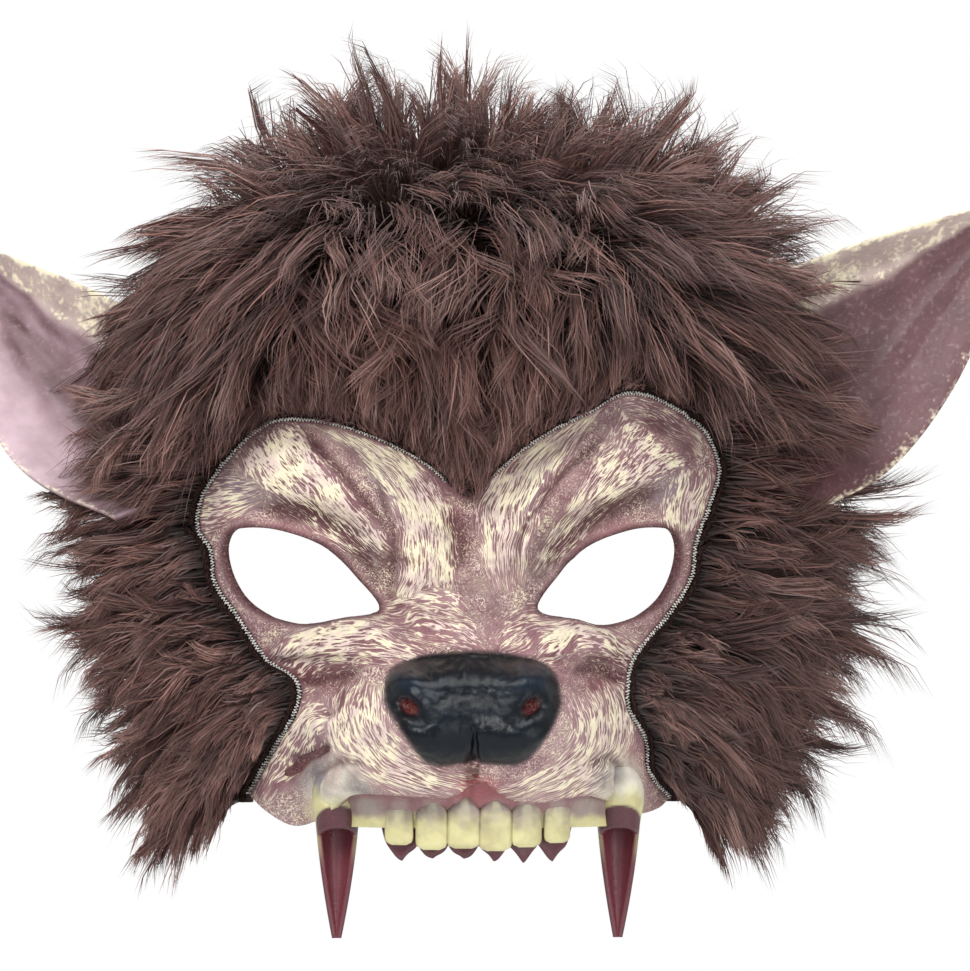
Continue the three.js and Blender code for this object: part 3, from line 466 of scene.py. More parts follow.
# Materials
class Shading:
    """A material with its Principled shader, and short calls that make and join its nodes."""

    def __init__(self, name, roughness, specular=0.5):
        self.material = bpy.data.materials.new(name)
        self.material.use_nodes = True
        tree = self.material.node_tree
        self.nodes, self.links, self.shader = tree.nodes, tree.links, tree.nodes["Principled BSDF"]
        self.shade("Roughness", roughness)
        self.shade("Specular IOR Level", specular)

    def put(self, value, socket):
        """Sets a socket from a number, a colour or another node's output."""
        if isinstance(value, bpy.types.NodeSocket):
            self.links.new(value, socket)
        elif isinstance(value, (int, float)):
            socket.default_value = value
        else:
            socket.default_value = (*value, 1.0)

    def shade(self, name, value):
        self.put(value, self.shader.inputs[name])

    def attribute(self, name, output="Fac"):
        made = self.nodes.new("ShaderNodeAttribute")
        made.attribute_name = name
        return made.outputs[output]

    def place(self):
        return self.nodes.new("ShaderNodeTexCoord").outputs["Object"]

    def noise(self, scale, detail=3.0, distortion=0.0, place=None):
        made = self.nodes.new("ShaderNodeTexNoise")
        for name, value in (("Scale", scale), ("Detail", detail), ("Distortion", distortion)):
            self.put(value, made.inputs[name])
        self.put(self.place() if place is None else place, made.inputs["Vector"])
        return made.outputs["Fac"]

    def mixed(self, factor, first, second, blend="MIX"):
        made = self.nodes.new("ShaderNodeMix")
        made.data_type = "RGBA"
        made.blend_type = blend
        for index, value in ((0, factor), (6, first), (7, second)):
            self.put(value, made.inputs[index])
        return made.outputs[2]

    def math(self, operation, *values):
        made = self.nodes.new("ShaderNodeMath")
        made.operation = operation
        for socket, value in zip(made.inputs, values):
            self.put(value, socket)
        return made.outputs[0]

    def ranged(self, value, low, high, to_low=0.0, to_high=1.0):
        made = self.nodes.new("ShaderNodeMapRange")
        made.interpolation_type = "SMOOTHSTEP"
        for name, number in (("Value", value), ("From Min", low), ("From Max", high),
                             ("To Min", to_low), ("To Max", to_high)):
            self.put(number, made.inputs[name])
        return made.outputs["Result"]

    def bump(self, height, strength, distance):
        made = self.nodes.new("ShaderNodeBump")
        for name, value in (("Height", height), ("Strength", strength), ("Distance", distance)):
            self.put(value, made.inputs[name])
        self.shade("Normal", made.outputs["Normal"])

    def worn_paint(self, matt, fine, broad, mottle, specks):
        """The stored base colour with broad dark mottling and pale specks where the skin is matt."""
        mottle = self.math("MULTIPLY", matt, self.ranged(broad, *mottle))
        specks = self.math("MULTIPLY", matt, self.ranged(fine, *specks))
        base = self.mixed(mottle, self.attribute("paint", "Color"), TINT["mottle_and_seam_shade"], "MULTIPLY")
        return self.mixed(specks, base, TINT["pale"])


def painted_latex(name, roughness, grain):
    """Latex with its paint in attributes: a base colour, dry-brushed cream and rubbed-in dark."""
    kit = Shading(name, roughness)
    gloss = kit.attribute("gloss")
    matt = kit.math("SUBTRACT", 1.0, gloss)
    fine = kit.noise(grain, 4.0)
    base = kit.worn_paint(matt, fine, kit.noise(grain / 9), (0.35, 0.7, 0.0, 0.3), (0.5, 0.8, 0.0, 0.22))
    ragged = kit.math("MULTIPLY_ADD", fine, 1.1, -0.55)
    dark = kit.math("ADD", kit.attribute("dark"), ragged)
    cream = kit.math("ADD", kit.attribute("cream"), ragged)
    base = kit.mixed(kit.ranged(dark, 0.15, 0.85, 0.0, 0.8), base, TINT["furrow_paint_and_shade"])
    kit.shade("Base Color", kit.mixed(kit.ranged(cream, 0.22, 0.72, 0.0, 0.9), base, TINT["cream"]))
    kit.shade("Roughness", kit.ranged(gloss, 0.0, 1.0, roughness, GLOSSY))
    kit.bump(fine, 0.4, 0.0004)
    return kit.material


def brushed_skin(name):
    """Face latex: fine cream lines follow the stroke places stored on the skin."""
    kit = Shading(name, SKIN_ROUGHNESS, 0.22)
    gloss = kit.attribute("gloss")
    matt = kit.math("SUBTRACT", 1.0, gloss)
    fine, broad = kit.noise(1500.0), kit.noise(130.0)
    lines = kit.math("MULTIPLY", fine, 0.16)
    for scale, width, share in ((1.0, 0.115, 0.62), (2.3, 0.17, 0.3)):
        noise = kit.noise(scale, 2.0, 0.35, kit.attribute("brush", "Vector"))
        off = kit.math("ABSOLUTE", kit.math("SUBTRACT", noise, 0.5))
        lines = kit.math("ADD", lines, kit.math("MULTIPLY", kit.ranged(off, 0.0, width, 1.0, 0.0), share))
    cover = kit.math("MULTIPLY", kit.attribute("cream"), 1.05)
    shown = kit.ranged(kit.math("ADD", lines, cover), 0.84, 1.22, 0.0, 0.95)
    gaps = kit.math("MULTIPLY", cover, kit.ranged(lines, 0.12, 0.55, 0.95, 0.0))
    dark = kit.math("ADD", kit.attribute("dark"), gaps)
    base = kit.worn_paint(matt, fine, broad, (0.35, 0.65, 0.0, 0.3), (0.45, 0.75, 0.0, 0.25))
    # The dark field holds painted shade in the creases, random mottling and the darker gaps between the cream
    # lines.
    base = kit.mixed(kit.ranged(dark, 0.05, 0.95, 0.0, 0.85), base, TINT["furrow_paint_and_shade"])
    cream = kit.mixed(kit.ranged(broad, 0.4, 0.62), TINT["cream"], TINT["cream_pink"])
    kit.shade("Base Color", kit.mixed(kit.math("MULTIPLY", matt, shown), base, cream))
    kit.shade("Roughness", kit.ranged(gloss, 0.0, 1.0, SKIN_ROUGHNESS, GLOSSY))
    kit.bump(kit.math("MULTIPLY", lines, kit.ranged(gloss, 0.0, 0.6, 1.0, 0.12)), 0.5, 0.0005)
    return kit.material


def blended(colour, name, share):
    """A colour moved towards a named one by a share for each point."""
    share = np.clip(share, 0, 1)[:, None]
    return colour * (1 - share) + TINT[name] * share


def painted_piece(name, points, faces, material, colour, cream=0.0, dark=0.0, gloss=0.0, brush=None,
                  node="face"):
    """A latex piece whose paint is in attributes, one value a point or one for all points."""
    count = len(points)
    colours = {"paint": np.broadcast_to(colour, (count, 3))}
    if brush is not None:
        colours["brush"] = np.column_stack([brush, np.zeros(count)])
    fields = {"cream": cream, "dark": dark, "gloss": gloss}
    mesh_object(name, points, faces, material, (node,), colours,
                {key: np.broadcast_to(field, count) for key, field in fields.items()})


# Face relief and paint
def add_stroke(field, x, z, line, width, amount):
    """Adds a ridge along a line to a field, thinner at both ends."""
    margin = 3 * width
    near = ((x > line[:, 0].min() - margin) & (x < line[:, 0].max() + margin)
            & (z > line[:, 1].min() - margin) & (z < line[:, 1].max() + margin))
    if not near.any():
        return
    px, pz = x[near], z[near]
    best = np.zeros(px.shape)
    spans = len(line) - 1
    for k, ((ax, az), (bx, bz)) in enumerate(zip(line[:-1], line[1:])):
        length2 = max((bx - ax) ** 2 + (bz - az) ** 2, 1e-9)
        t = np.clip(((px - ax) * (bx - ax) + (pz - az) * (bz - az)) / length2, 0, 1)
        distance2 = (px - ax - t * (bx - ax)) ** 2 + (pz - az - t * (bz - az)) ** 2
        along = (k + t) / spans
        taper = np.clip(np.minimum(along, 1 - along) * 5 + 0.25, 0, 1)
        best = np.maximum(best, taper * np.exp(-distance2 / (width * taper) ** 2))
    field[near] += amount * best


def patch(x, z, centre, half_width, half_height, turn=0.0, power=2.0):
    c, s = math.cos(math.radians(turn)), math.sin(math.radians(turn))
    dx, dz = x - centre[0], z - centre[1]
    along, beside = (dx * c + dz * s) / half_width, (dz * c - dx * s) / half_height
    return np.exp(-(np.hypot(along, beside) ** power))


# Dry-brushed patches: three points of one edge, three of the other, and cover
BRUSHED = [
    ([(-61.3, -14.6), (-50.4, -29.5), (-27.7, -45.3)], [(-46.5, -6.7), (-34.6, -22.5), (-21.2, -41.4)], 0.72),
    ([(-42.5, -6.9), (-20.7, -27.5), (-18.7, -56.2)], [(-16.8, -13.6), (-4.4, -29.5), (-3.0, -52.3)], 0.72),
    ([(-73.7, -24.5), (-66.3, -22.6), (-58.4, -22.5)],
     [(-73.2, -36.4), (-66.3, -33.9), (-57.4, -30.0)], 0.55),
    ([(45.7, -3.7), (34.8, -20.6), (17.9, -47.3)], [(67.0, -18.6), (48.6, -26.5), (28.2, -46.3)], 0.55),
    ([(18.4, -13.6), (5.5, -27.5), (6.5, -49.3)], [(41.2, -1.2), (24.4, -22.5), (16.4, -50.3)], 0.58),
    ([(62.0, -19.6), (58.0, -28.5), (59.0, -36.4)], [(73.4, -20.6), (72.4, -29.5), (68.0, -38.4)], 0.55),
    ([(47, 1.8), (56, 1.0), (66, -4)], [(46, -5.5), (56, -6.5), (68, -14)], 0.3),
    ([(-33.6, -59.7), (-12.8, -54.2), (-0.9, -56.7)], [(-31.6, -65.2), (-12.8, -65.2), (3.1, -71.1)], 0.26),
    ([(6, -63.2), (15, -58.7), (28.8, -59.7)], [(9, -71.1), (18.9, -68.1), (31.8, -66.2)], 0.3),
    ([(-52.4, -70.1), (-33.6, -63.7), (-14.8, -66.6)],
     [(-48.5, -77.5), (-31.6, -72.1), (-14.8, -74.6)], 0.52),
    ([(18.0, -68.1), (33.8, -62.7), (50.1, -69.1)], [(18.9, -74.6), (33.8, -70.1), (47.6, -75.1)], 0.56),
    ([(-36.6, -79), (-36.6, -97.4), (-14.8, -109.8)], [(-24.7, -80), (-19.7, -94.9), (0.1, -103.3)], 0.55),
    ([(-42.5, -82), (-49.5, -90.4), (-58.4, -108.8)],
     [(-35.6, -89.9), (-40.6, -93.4), (-50.6, -108.8)], 0.44),
    ([(26.3, -84), (23.4, -97.4), (4.5, -107.3)], [(44.7, -79), (45.7, -97.4), (29.8, -110.7)], 0.52),
]
# Broad folds: line, width, height, how cream (positive) or dark (negative) its crest is; the dark along a
# sunk fold is painted shade in its crease
FOLDS = [
    ([(-53, -72), (-38, -65), (-20, -65)], 3.4, 2.4, 0.3),
    ([(42, -70), (30, -65), (16, -69)], 3.4, 2.4, 0.3),
    ([(-20, -57), (-8, -54), (8, -57)], 2.8, 1.6, 0.2),
    ([(-18, -59), (-4, -64), (11, -60)], 2.2, 1.2, 0.15),
    ([(-44.3, -6.7), (-33.4, -20.6), (-21.5, -38.4)], 2.3, -2.0, -0.85),
    ([(-23.5, -21.5), (-20.5, -35.4), (-21.5, -56.3)], 1.8, -1.4, -0.65),
    ([(39.9, -8.7), (23.1, -24.5), (14.2, -43.4)], 2.2, -1.9, -0.8),
    ([(52, -4), (60, -8), (68, -16)], 5.0, -0.8, -0.55),
    ([(-57.2, -30.5), (-37.4, -34.5), (-24.5, -48.3)], 3.4, -1.0, -1.0),
    ([(57.8, -24.5), (37, -33.5), (22.1, -47.4)], 3.4, -1.0, -1.0),
    ([(-53, -79), (-42, -76.5), (-30, -74)], 2.8, -2.0, -0.85),
    ([(46, -79), (38, -74), (28, -75)], 2.4, -1.7, -0.7),
    ([(-41.5, -88), (-37, -84), (-36, -77)], 1.8, -0.9, -0.5),
    ([(-58, -106), (-50, -93), (-39, -88.5)], 2.6, 1.7, 0.15),
    ([(-39.5, -95.4), (-45.8, -99.9), (-52.7, -105.8)], 2.0, -3.0, -0.5),
    ([(-30, -100), (-37, -100), (-43, -107)], 1.6, -1.2, -0.6),
    ([(31, -101), (38, -99), (47, -106)], 1.6, -1.2, -0.6),
    ([(-3, -31), (-1, -40), (-2, -47)], 2.0, -1.4, -0.75),
    ([(-31, -110.5), (-14, -111.5), (-2, -108)], 1.3, -0.9, -0.5),
    ([(32, -110.5), (16, -112.5), (4, -108)], 1.3, -0.9, -0.5),
]


# Tints of both sides: colour, share, across, up, half width, half height, turn and power
# The olive tints are painted shade under the brows.
SIDE_TINTS = [
    ("under_brow_painted_shade", 0.8, 37, -34, 21, 3.4, 26, 2), ("lid", 0.75, 46, -35.5, 18, 2.4, 14, 3),
    ("grey", 0.6, 60, -25, 7, 4.5, 40, 2), ("under_brow_painted_shade", 0.5, 23, -48, 3.6, 9, -30, 2),
    ("grey", 0.35, 22, -22, 3, 12, -20, 2), ("red", 0.8, 39, -78, 11, 4.6, 22, 2),
    ("pale", 0.45, 30, -95, 14, 13, 0, 3), ("pale", 0.4, 40, -60, 18, 4, 10, 2),
]
# Tints of one place: colour, share, centre, half width, half height, turn and power
PLACE_TINTS = [
    ("red", 0.6, (-1.5, -36), 3.6, 9), ("lid", 0.6, (46, -105), 8, 9, 0, 3),
    ("notch", 0.35, (-34, -103), 7, 4.5, 0, 3), ("notch", 0.35, (44, -101), 6, 6, 0, 3),
    ("slit", 0.95, (-45.5, -100.8), 8.5, 2.4, 44, 4), ("notch", 0.95, (0.6, -106.5), 5.5, 3.2, 0, 3),
]


def quadratic(points, t):
    """A curve that passes through three points, and its slope."""
    p0, p1, p2 = (np.asarray(p, float) for p in points)
    middle = 2 * p1 - 0.5 * (p0 + p2)
    t = t[:, None]
    place = (1 - t) ** 2 * p0 + 2 * t * (1 - t) * middle + t ** 2 * p2
    return place, 2 * (1 - t) * (middle - p0) + 2 * t * (p2 - middle)


def brushed_place(x, z, first, last):
    """Share across a patch from its first edge to its last, and share along it."""
    s, t = np.full(x.shape, 0.5), np.full(x.shape, 0.5)
    for _ in range(9):
        a, da = quadratic(first, t)
        b, db = quadratic(last, t)
        miss = a + (b - a) * s[:, None] - np.column_stack([x, z])
        ps, pt = b - a, da + (db - da) * s[:, None]
        size = ps[:, 0] * pt[:, 1] - ps[:, 1] * pt[:, 0]
        size = np.where(np.abs(size) < 1e-3, 1e-3, size)
        s = np.clip(s - 0.9 * (miss[:, 0] * pt[:, 1] - miss[:, 1] * pt[:, 0]) / size, -1.0, 2.0)
        t = np.clip(t - 0.9 * (ps[:, 0] * miss[:, 1] - ps[:, 1] * miss[:, 0]) / size, -1.0, 2.0)
    return s, t


def brush_patch(x, z, first, last, cover, seed):
    """Cover of one dry-brushed patch near its edges, with places across and along its strokes."""
    corners = np.array(list(first) + list(last))
    low, high = corners.min(axis=0) - 6, corners.max(axis=0) + 6
    near = np.flatnonzero((x > low[0]) & (x < high[0]) & (z > low[1]) & (z < high[1]))
    px, pz = x[near], z[near]
    s, t = brushed_place(px, pz, first, last)
    ends = np.linalg.norm(np.array(first) - np.array(last), axis=1).mean()
    length = np.linalg.norm(np.array(first[0]) - np.array(first[2]))
    across, along = s * ends + 0.9 * value_noise(px, pz, 6.0, seed + 3), t * length
    rough = 0.3 * value_noise(px, pz, 3.0, seed + 5)
    fade = (smooth((np.minimum(s, 1 - s) * ends + 1.6) / 4.4 + rough)
            * smooth((np.minimum(t, 1 - t) * length + 2.0) / 6.0 + rough))
    bundles = 0.9 + 0.3 * value_noise(across, along * 0.25, 2.6, seed)
    return near, cover * fade * bundles, across, along


def nose_mask(x, z):
    """1 on the nose pad: wide over the nostrils, narrower towards the lip."""
    share = np.clip((z + 101) / 30, 0, 1)
    half = 16.0 + 8.6 * smooth(share * 1.5)
    side = np.abs(x + 0.5) / half
    high = np.abs(z + 86.0 - 1.5 * np.cos(np.minimum(side, 1.4) * 2.2)) / 15.2
    rounded = (side ** 4 + high ** 4) ** 0.25
    return 1 - smooth((rounded - 0.93) / 0.13), rounded


def paint_face(x, z):
    """Relief, base colour, cream and dark fields of the painted latex."""
    relief = np.zeros(x.shape)
    cream = np.zeros(x.shape)
    dark = np.zeros(x.shape)
    brush = np.column_stack([x, z]) / LINE_GAP
    for index, (first, last, amount) in enumerate(BRUSHED):
        near, field, across, along = brush_patch(x, z, first, last, amount, 100 + 10 * index)
        chosen = field > cream[near]
        near, field, across, along = near[chosen], field[chosen], across[chosen], along[chosen]
        cream[near] = field
        brush[near] = np.column_stack([across / LINE_GAP + 31 * index, along / LINE_LENGTH])
        relief[near] += 0.22 * field * value_noise(across, along * 0.2, 2.0, 7 + index)
    for line, width, height, tone in FOLDS:
        bent = curve_points(np.array(line) / [FACE_HALF_WIDTH, FACE_HEIGHT], False, 6)
        add_stroke(relief, x, z, bent, width, height)
        # Dark along a sunk fold is painted shade in its crease.
        add_stroke(cream if tone > 0 else dark, x, z, bent, width * 0.8, abs(tone))
    dark = dark + 0.2 * np.clip(layered_noise(x, z, 3.0, 29), 0, 1)
    cream = np.maximum(cream, 0.17 + 0.2 * layered_noise(x, z, 7.0, 33))
    cream = cream * (1 - 0.75 * np.clip(dark, 0, 1))

    colour = np.broadcast_to(TINT["mauve"], (len(x), 3)).copy()

    def tint(name, amount):
        colour[:] = blended(colour, name, amount)

    blotch = layered_noise(x, z, 9, 3)
    tint("pale", 0.2 + 0.5 * blotch)
    tint("mottle_and_seam_shade", 0.35 * np.clip(layered_noise(x, z, 6, 13), 0, 1))
    for side in (-1, 1):
        for name, amount, across, up, width, height, turn, power in SIDE_TINTS:
            centre = (FACE_MIDLINE + side * across, up)
            tint(name, amount * patch(x, z, centre, width, height, turn * side, power))
    for name, amount, *form in PLACE_TINTS:
        tint(name, amount * patch(x, z, *form))
    for fang_x in (FANG_LEFT, FANG_RIGHT):
        hood = patch(x, z, (fang_x, -107), 8.5, 9.0, 0, 4)
        tint("hood_light", hood * smooth(0.85 + 0.5 * layered_noise(x, z, 4, 51)))
        # Painted shade: dark grey at both sides of each fang's hood.
        tint("hood_painted_shade", 0.8 * patch(x, z, (fang_x - 6, -103), 2.6, 6.0, -30))
        tint("hood_painted_shade", 0.7 * patch(x, z, (fang_x + 6, -107), 2.4, 5.0, 30))
        tint("tooth", 0.9 * patch(x, z, (fang_x, -114), 8.0, 4.0, 0, 3))
        cream = cream * (1 - 0.9 * hood)
        relief += 2.4 * patch(x, z, (fang_x, -107.5), 6.5, 7.5)
    eyes = np.minimum(np.abs(loop_distance(x, z, EYES[0])), np.abs(loop_distance(x, z, EYES[1])))
    tint("rim", 0.9 * (1 - smooth(eyes / 1.9)))
    edge = line_distance(x, z, SEAM_LINE[::2])
    # Painted shade: darker next to the fur seam.
    tint("mottle_and_seam_shade", 0.55 * (1 - smooth(edge / 4.5)))

    nose, rounded = nose_mask(x, z)
    grain = layered_noise(x, z, 3.2, 11)
    cream = (cream * (1 + 0.35 * layered_noise(x, z, 5, 19)) - 0.3 * (1 - smooth(eyes / 2.5))) * (1 - nose)
    cream = cream - 0.4 * (1 - smooth(edge / 1.6))
    dark = dark * (1 - nose)
    tint("nose", nose)
    # Painted highlight: lighter blue-grey over the nostril rolls and in a random grain over the pad.
    rolls = patch(x, z, (-19, -79), 7, 4.5, -28) + patch(x, z, (17, -77), 8, 4.5, 28)
    tint("nose_painted_highlight", nose * np.clip(0.4 * rolls + 0.22 * grain, 0, 0.5))
    tint("nose_edge", nose * smooth((rounded - 0.72) / 0.3))
    relief = relief * (1 - 0.7 * nose) + nose * (1.6 * (1 - rounded ** 3) + 0.35 * grain)
    relief += 1.5 * nose * rolls
    crest = np.exp(-((z - NOSE_CREST) / 3.0) ** 2)
    relief -= 0.8 * nose * crest * (1 - np.clip(rolls, 0, 1))
    slot = add_line_field(x, z, [(-0.6, -90), (-0.4, -102), (-0.2, -106)], 0.9)
    relief -= 1.6 * slot
    for side in (-1, 1):
        centre = (-1.8 + side * 16.2, -84.6)
        well = patch(x, z, centre, 2.9, 2.0, 34 * side, 4)
        ring = patch(x, z, centre, 5.0, 3.9, 34 * side, 3) * (1 - well)
        tint("nostril", 1.1 * well)
        tint("nose_edge", 0.8 * ring)
        nose = nose * (1 - 0.8 * well)
        relief -= 1.5 * well
        relief += 0.9 * patch(x, z, (centre[0] + 1.5 * side, centre[1] - 4.2), 4.4, 1.5, 30 * side)
    seam_fade = smooth(np.minimum(edge, line_distance(x, z, LIP_LINE[::2])) / 3.0)
    relief = relief * seam_fade + 0.18 * layered_noise(x, z, 2.4, 23) * seam_fade
    return relief, colour, cream, dark, nose, brush


def add_line_field(x, z, points, width):
    field = np.zeros(x.shape)
    line = curve_points(np.array(points) / [FACE_HALF_WIDTH, FACE_HEIGHT], False, 4)
    add_stroke(field, x, z, line, width, 1.0)
    return field


def face_signed(x, z):
    value = loop_distance(x, z, FACE_OUTLINE)
    for hole in EYES:
        value = np.maximum(value, -loop_distance(x, z, hole))
    return value


def face_grid(cell):
    us = np.arange(-FACE_HALF_WIDTH * 1.03, FACE_HALF_WIDTH * 1.06, cell)
    vs = np.arange(-FACE_HEIGHT * 0.97, FACE_HEIGHT * 0.06, cell)
    return clip_grid(us, vs, face_signed)


def border_edges(quads, count):
    edges = np.vstack([quads[:, [k, (k + 1) % 4]] for k in range(4)]).astype(np.int64)
    key, back = edges[:, 0] * count + edges[:, 1], edges[:, 1] * count + edges[:, 0]
    return edges[~np.isin(key, back)]


def build_face(material):
    """Painted skin with its cut edge, and the bare latex inside."""
    x, z, quads = face_grid(FACE_CELL)
    relief, colour, cream, dark, nose, brush = paint_face(x, z)
    smooth_face = np.stack([x, face_front(x, z), z], axis=-1)
    normal = face_normal(x, z)
    rim = border_edges(quads, len(x))
    edge, index = np.unique(rim, return_inverse=True)
    index = index.reshape(-1, 2) + len(x)
    walls = np.stack([rim[:, 1], rim[:, 0], index[:, 0], index[:, 1]], axis=1)
    points = np.vstack([smooth_face + normal * relief[:, None],
                        smooth_face[edge] - normal[edge] * LATEX_WALL])
    zeros = np.zeros(len(edge))
    painted_piece("face_skin", points, np.vstack([quads, walls]), material,
                  np.vstack([colour, np.broadcast_to(TINT["rim"], (len(edge), 3))]), np.r_[cream, zeros],
                  np.r_[dark, zeros], np.r_[nose, zeros], np.vstack([brush, brush[edge]]))
    x, z, quads = face_grid(LINING_CELL)
    points = np.stack([x, face_front(x, z), z], axis=-1) - face_normal(x, z) * LATEX_WALL
    painted_piece("face_lining", points, quads[:, ::-1], material, TINT["maroon"],
                  brush=np.column_stack([x, z]))


# Teeth
def arc_depth(x):
    return ARC_FRONT + ARC_FALL * ((x - ARC_CENTRE) / ARC_HALF_WIDTH) ** 2


def incisor_points(index, columns=26, rows=22):
    """A tooth with a ridged, narrower root, a broad rounded edge, and closed ends."""
    offset = index - (INCISORS - 1) / 2
    x0 = ARC_CENTRE + offset * INCISOR_PITCH
    bottom = INCISOR_BOTTOM + INCISOR_SHORTEN * (abs(offset) / (INCISORS / 2)) ** 2
    bottom += (0.0, -0.5, 0.3, -0.4, 0.2, 0.5)[index]
    slope = math.atan(2 * ARC_FALL * (x0 - ARC_CENTRE) / ARC_HALF_WIDTH ** 2)
    a = np.linspace(0, 2 * math.pi, columns, endpoint=False)
    rings = []
    for v in np.linspace(0, 1, rows):
        z = INCISOR_TOP + (bottom - INCISOR_TOP) * v
        close = (1 - np.clip((v - 0.82) / 0.18, 0, 1) ** 2.4) ** 0.5
        half = INCISOR_WIDTH * 0.555 * (0.25 + 0.75 * smooth(v * 2.6)) * (0.5 + 0.5 * close)
        thick = (1.0 + 1.9 * smooth(v * 4) - 1.2 * v) * (0.25 + 0.75 * close)
        across = half * signed_power(np.cos(a), 0.75)
        ridge = 0.9 * np.exp(-(across / 1.1) ** 2) * smooth((0.62 - v) / 0.5) * smooth(v / 0.12)
        deep = -thick * signed_power(np.sin(a), 0.8) - ridge * (np.sin(a) > 0)
        y = arc_depth(x0) + GUM_INSET + 0.9 + deep * math.cos(slope) + across * math.sin(slope)
        y = y - 2.4 * (1 - v) ** 1.5
        rings.append(np.stack([x0 + across * math.cos(slope), y, np.full(columns, z)], axis=-1))
    points = np.concatenate(rings)
    caps = np.array([points[:columns].mean(axis=0), points[-columns:].mean(axis=0)])
    quads = grid_quads(columns, rows - 1, True)[:, ::-1]
    i = np.arange(columns)
    n = (i + 1) % columns
    top, low = len(points), len(points) + 1
    base = (rows - 1) * columns
    lids = np.vstack([np.stack([i, n, np.full(columns, top)], axis=1),
                      np.stack([base + n, base + i, np.full(columns, low)], axis=1)])
    return np.vstack([points, caps]), quads, lids


def join_triangles(parts):
    points, faces, start = [], [], 0
    for p, quads, triangles in parts:
        split = np.vstack([quads[:, [0, 1, 2]], quads[:, [0, 2, 3]]])
        faces.append(np.vstack([split, triangles]) + start if len(triangles) else split + start)
        points.append(p)
        start += len(p)
    return np.vstack(points), np.vstack(faces)


def build_incisors(material):
    points, faces = join_triangles([incisor_points(i) for i in range(INCISORS)])
    x, z = points[:, 0], points[:, 2]
    near = (x - ARC_CENTRE) / INCISOR_PITCH
    side = np.abs(near - np.round(near))
    down = smooth((INCISOR_TOP - 3.5 - z) / 7.5 + 0.6 * layered_noise(x, z, 3, 8))
    ridge = np.exp(-((side - 0.5) / 0.1) ** 2) * smooth((z + 119) / 5) * smooth((-109 - z) / 2)
    colour = blended(TINT["tooth_grey"], "tooth", down)
    # Painted highlight: a lighter cream line down each root ridge.
    colour = blended(colour, "tooth_painted_highlight", 0.6 * ridge)
    # Painted shade: darker where two teeth meet.
    colour = colour * (1 - 0.22 * smooth((0.06 - side) / 0.06)[:, None])
    painted_piece("incisors", points, faces, material, colour)


def band_sheet(columns, rows, low_edge, top, low_depth, top_depth, waves=None):
    u, v = np.meshgrid(np.linspace(0, 1, columns + 1), np.linspace(0, 1, rows + 1))
    x = FANG_LEFT + (FANG_RIGHT - FANG_LEFT) * u
    bottom = low_edge(x)
    z = bottom + (top - bottom) * v
    y = low_depth(x) + (top_depth(x) - low_depth(x)) * v ** 2
    if waves is not None:
        y = y + waves(x, v)
    outer = np.stack([x, y, z], axis=-1).reshape(-1, 3)
    inner = outer + [0, LATEX_WALL, 0]
    quads = grid_quads(columns, rows)
    return np.vstack([outer, inner]), closed_sheet(quads, len(outer)), x.ravel(), z.ravel()


def root_wave(x):
    """1 in front of each incisor's root and -1 between two of them."""
    return np.cos((x - ARC_CENTRE) / INCISOR_PITCH * 2 * math.pi + math.pi)


def build_gum(material):
    def waves(x, v):
        within = smooth((30 - np.abs(x - ARC_CENTRE)) / 4)
        return -0.6 * root_wave(x) * within * (1 - v)

    points, faces, x, z = band_sheet(180, 24, lambda x: np.full_like(x, GUM_BOTTOM), GUM_TOP,
                                     lambda x: arc_depth(x) + GUM_INSET,
                                     lambda x: face_front(x, np.full_like(x, GUM_TOP)) + 0.8, waves)
    x, z = np.r_[x, x], np.r_[z, z]
    low = smooth((-108.5 - z) / 3.0)
    side = smooth((np.abs(x - ARC_CENTRE) - 24) / 3)
    grey = low * (0.15 + 0.6 * smooth(0.5 + 0.8 * root_wave(x))) + 0.6 * side * smooth((-108 - z) / 4)
    tooth = smooth((-113.0 - 0.8 * side - z) / 2.6 + 0.4 * layered_noise(x, z, 3, 6))
    colour = blended(blended(TINT["gum"], "tooth_grey", grey), "tooth", tooth)
    colour = blended(colour, "notch", 0.7 * np.clip(patch(x, z, (1.5, -106), 8, 5), 0, 1))
    painted_piece("gum", points, faces, material, colour, 0.15 * tooth * (1 + layered_noise(x, z, 2, 5)))


def build_back_wall(material):
    reach = INCISORS / 2 * INCISOR_PITCH - 1.4

    def low_edge(x):
        place = (x - ARC_CENTRE) / INCISOR_PITCH * 1.05
        tooth = 1 - np.abs(place - np.floor(place) - 0.5) * 2
        shown = np.where(np.abs(x - ARC_CENTRE) < reach, 0.75 * np.maximum(tooth, 0) ** 0.75, 0)
        uneven = 1 + 0.16 * np.sin(x * 0.9 + 1.3)
        behind = 7.0 * smooth((np.abs(x - ARC_CENTRE) - reach) / 2.5)
        return BACK_ROOT + behind + (BACK_TIP - BACK_ROOT) * shown * uneven

    points, faces, *_ = band_sheet(220, 12, low_edge, BACK_TOP, lambda x: arc_depth(x) + BACK_INSET,
                                   lambda x: arc_depth(x) + GUM_INSET + 1)
    painted_piece("palate_edge", points, faces, material, TINT["maroon"], -0.5, gloss=BARE_GLOSS)


def fang_surface(x0, angle, z, thinner):
    down = np.clip((FANG_TOP - z) / (FANG_TOP - FANG_BOTTOM), 0, 1)
    radius = FANG_ROOT_RADIUS + (FANG_TIP_RADIUS - FANG_ROOT_RADIUS) * down ** FANG_TAPER
    radius = radius + 0.6 * smooth((z + 118) / 7)
    dome = np.clip((z - (FANG_CROWN - FANG_HOOD)) / FANG_HOOD, 0, 1)
    radius = np.maximum(0.2, radius * np.sqrt(np.maximum(1 - dome ** 2.4, 0)) - thinner)
    depth = arc_depth(x0) + 3 - 5 * down * (1 - down) + 4 * down
    return np.stack([x0 + radius * np.sin(angle), depth - 1.15 * radius * np.cos(angle), z], axis=-1)


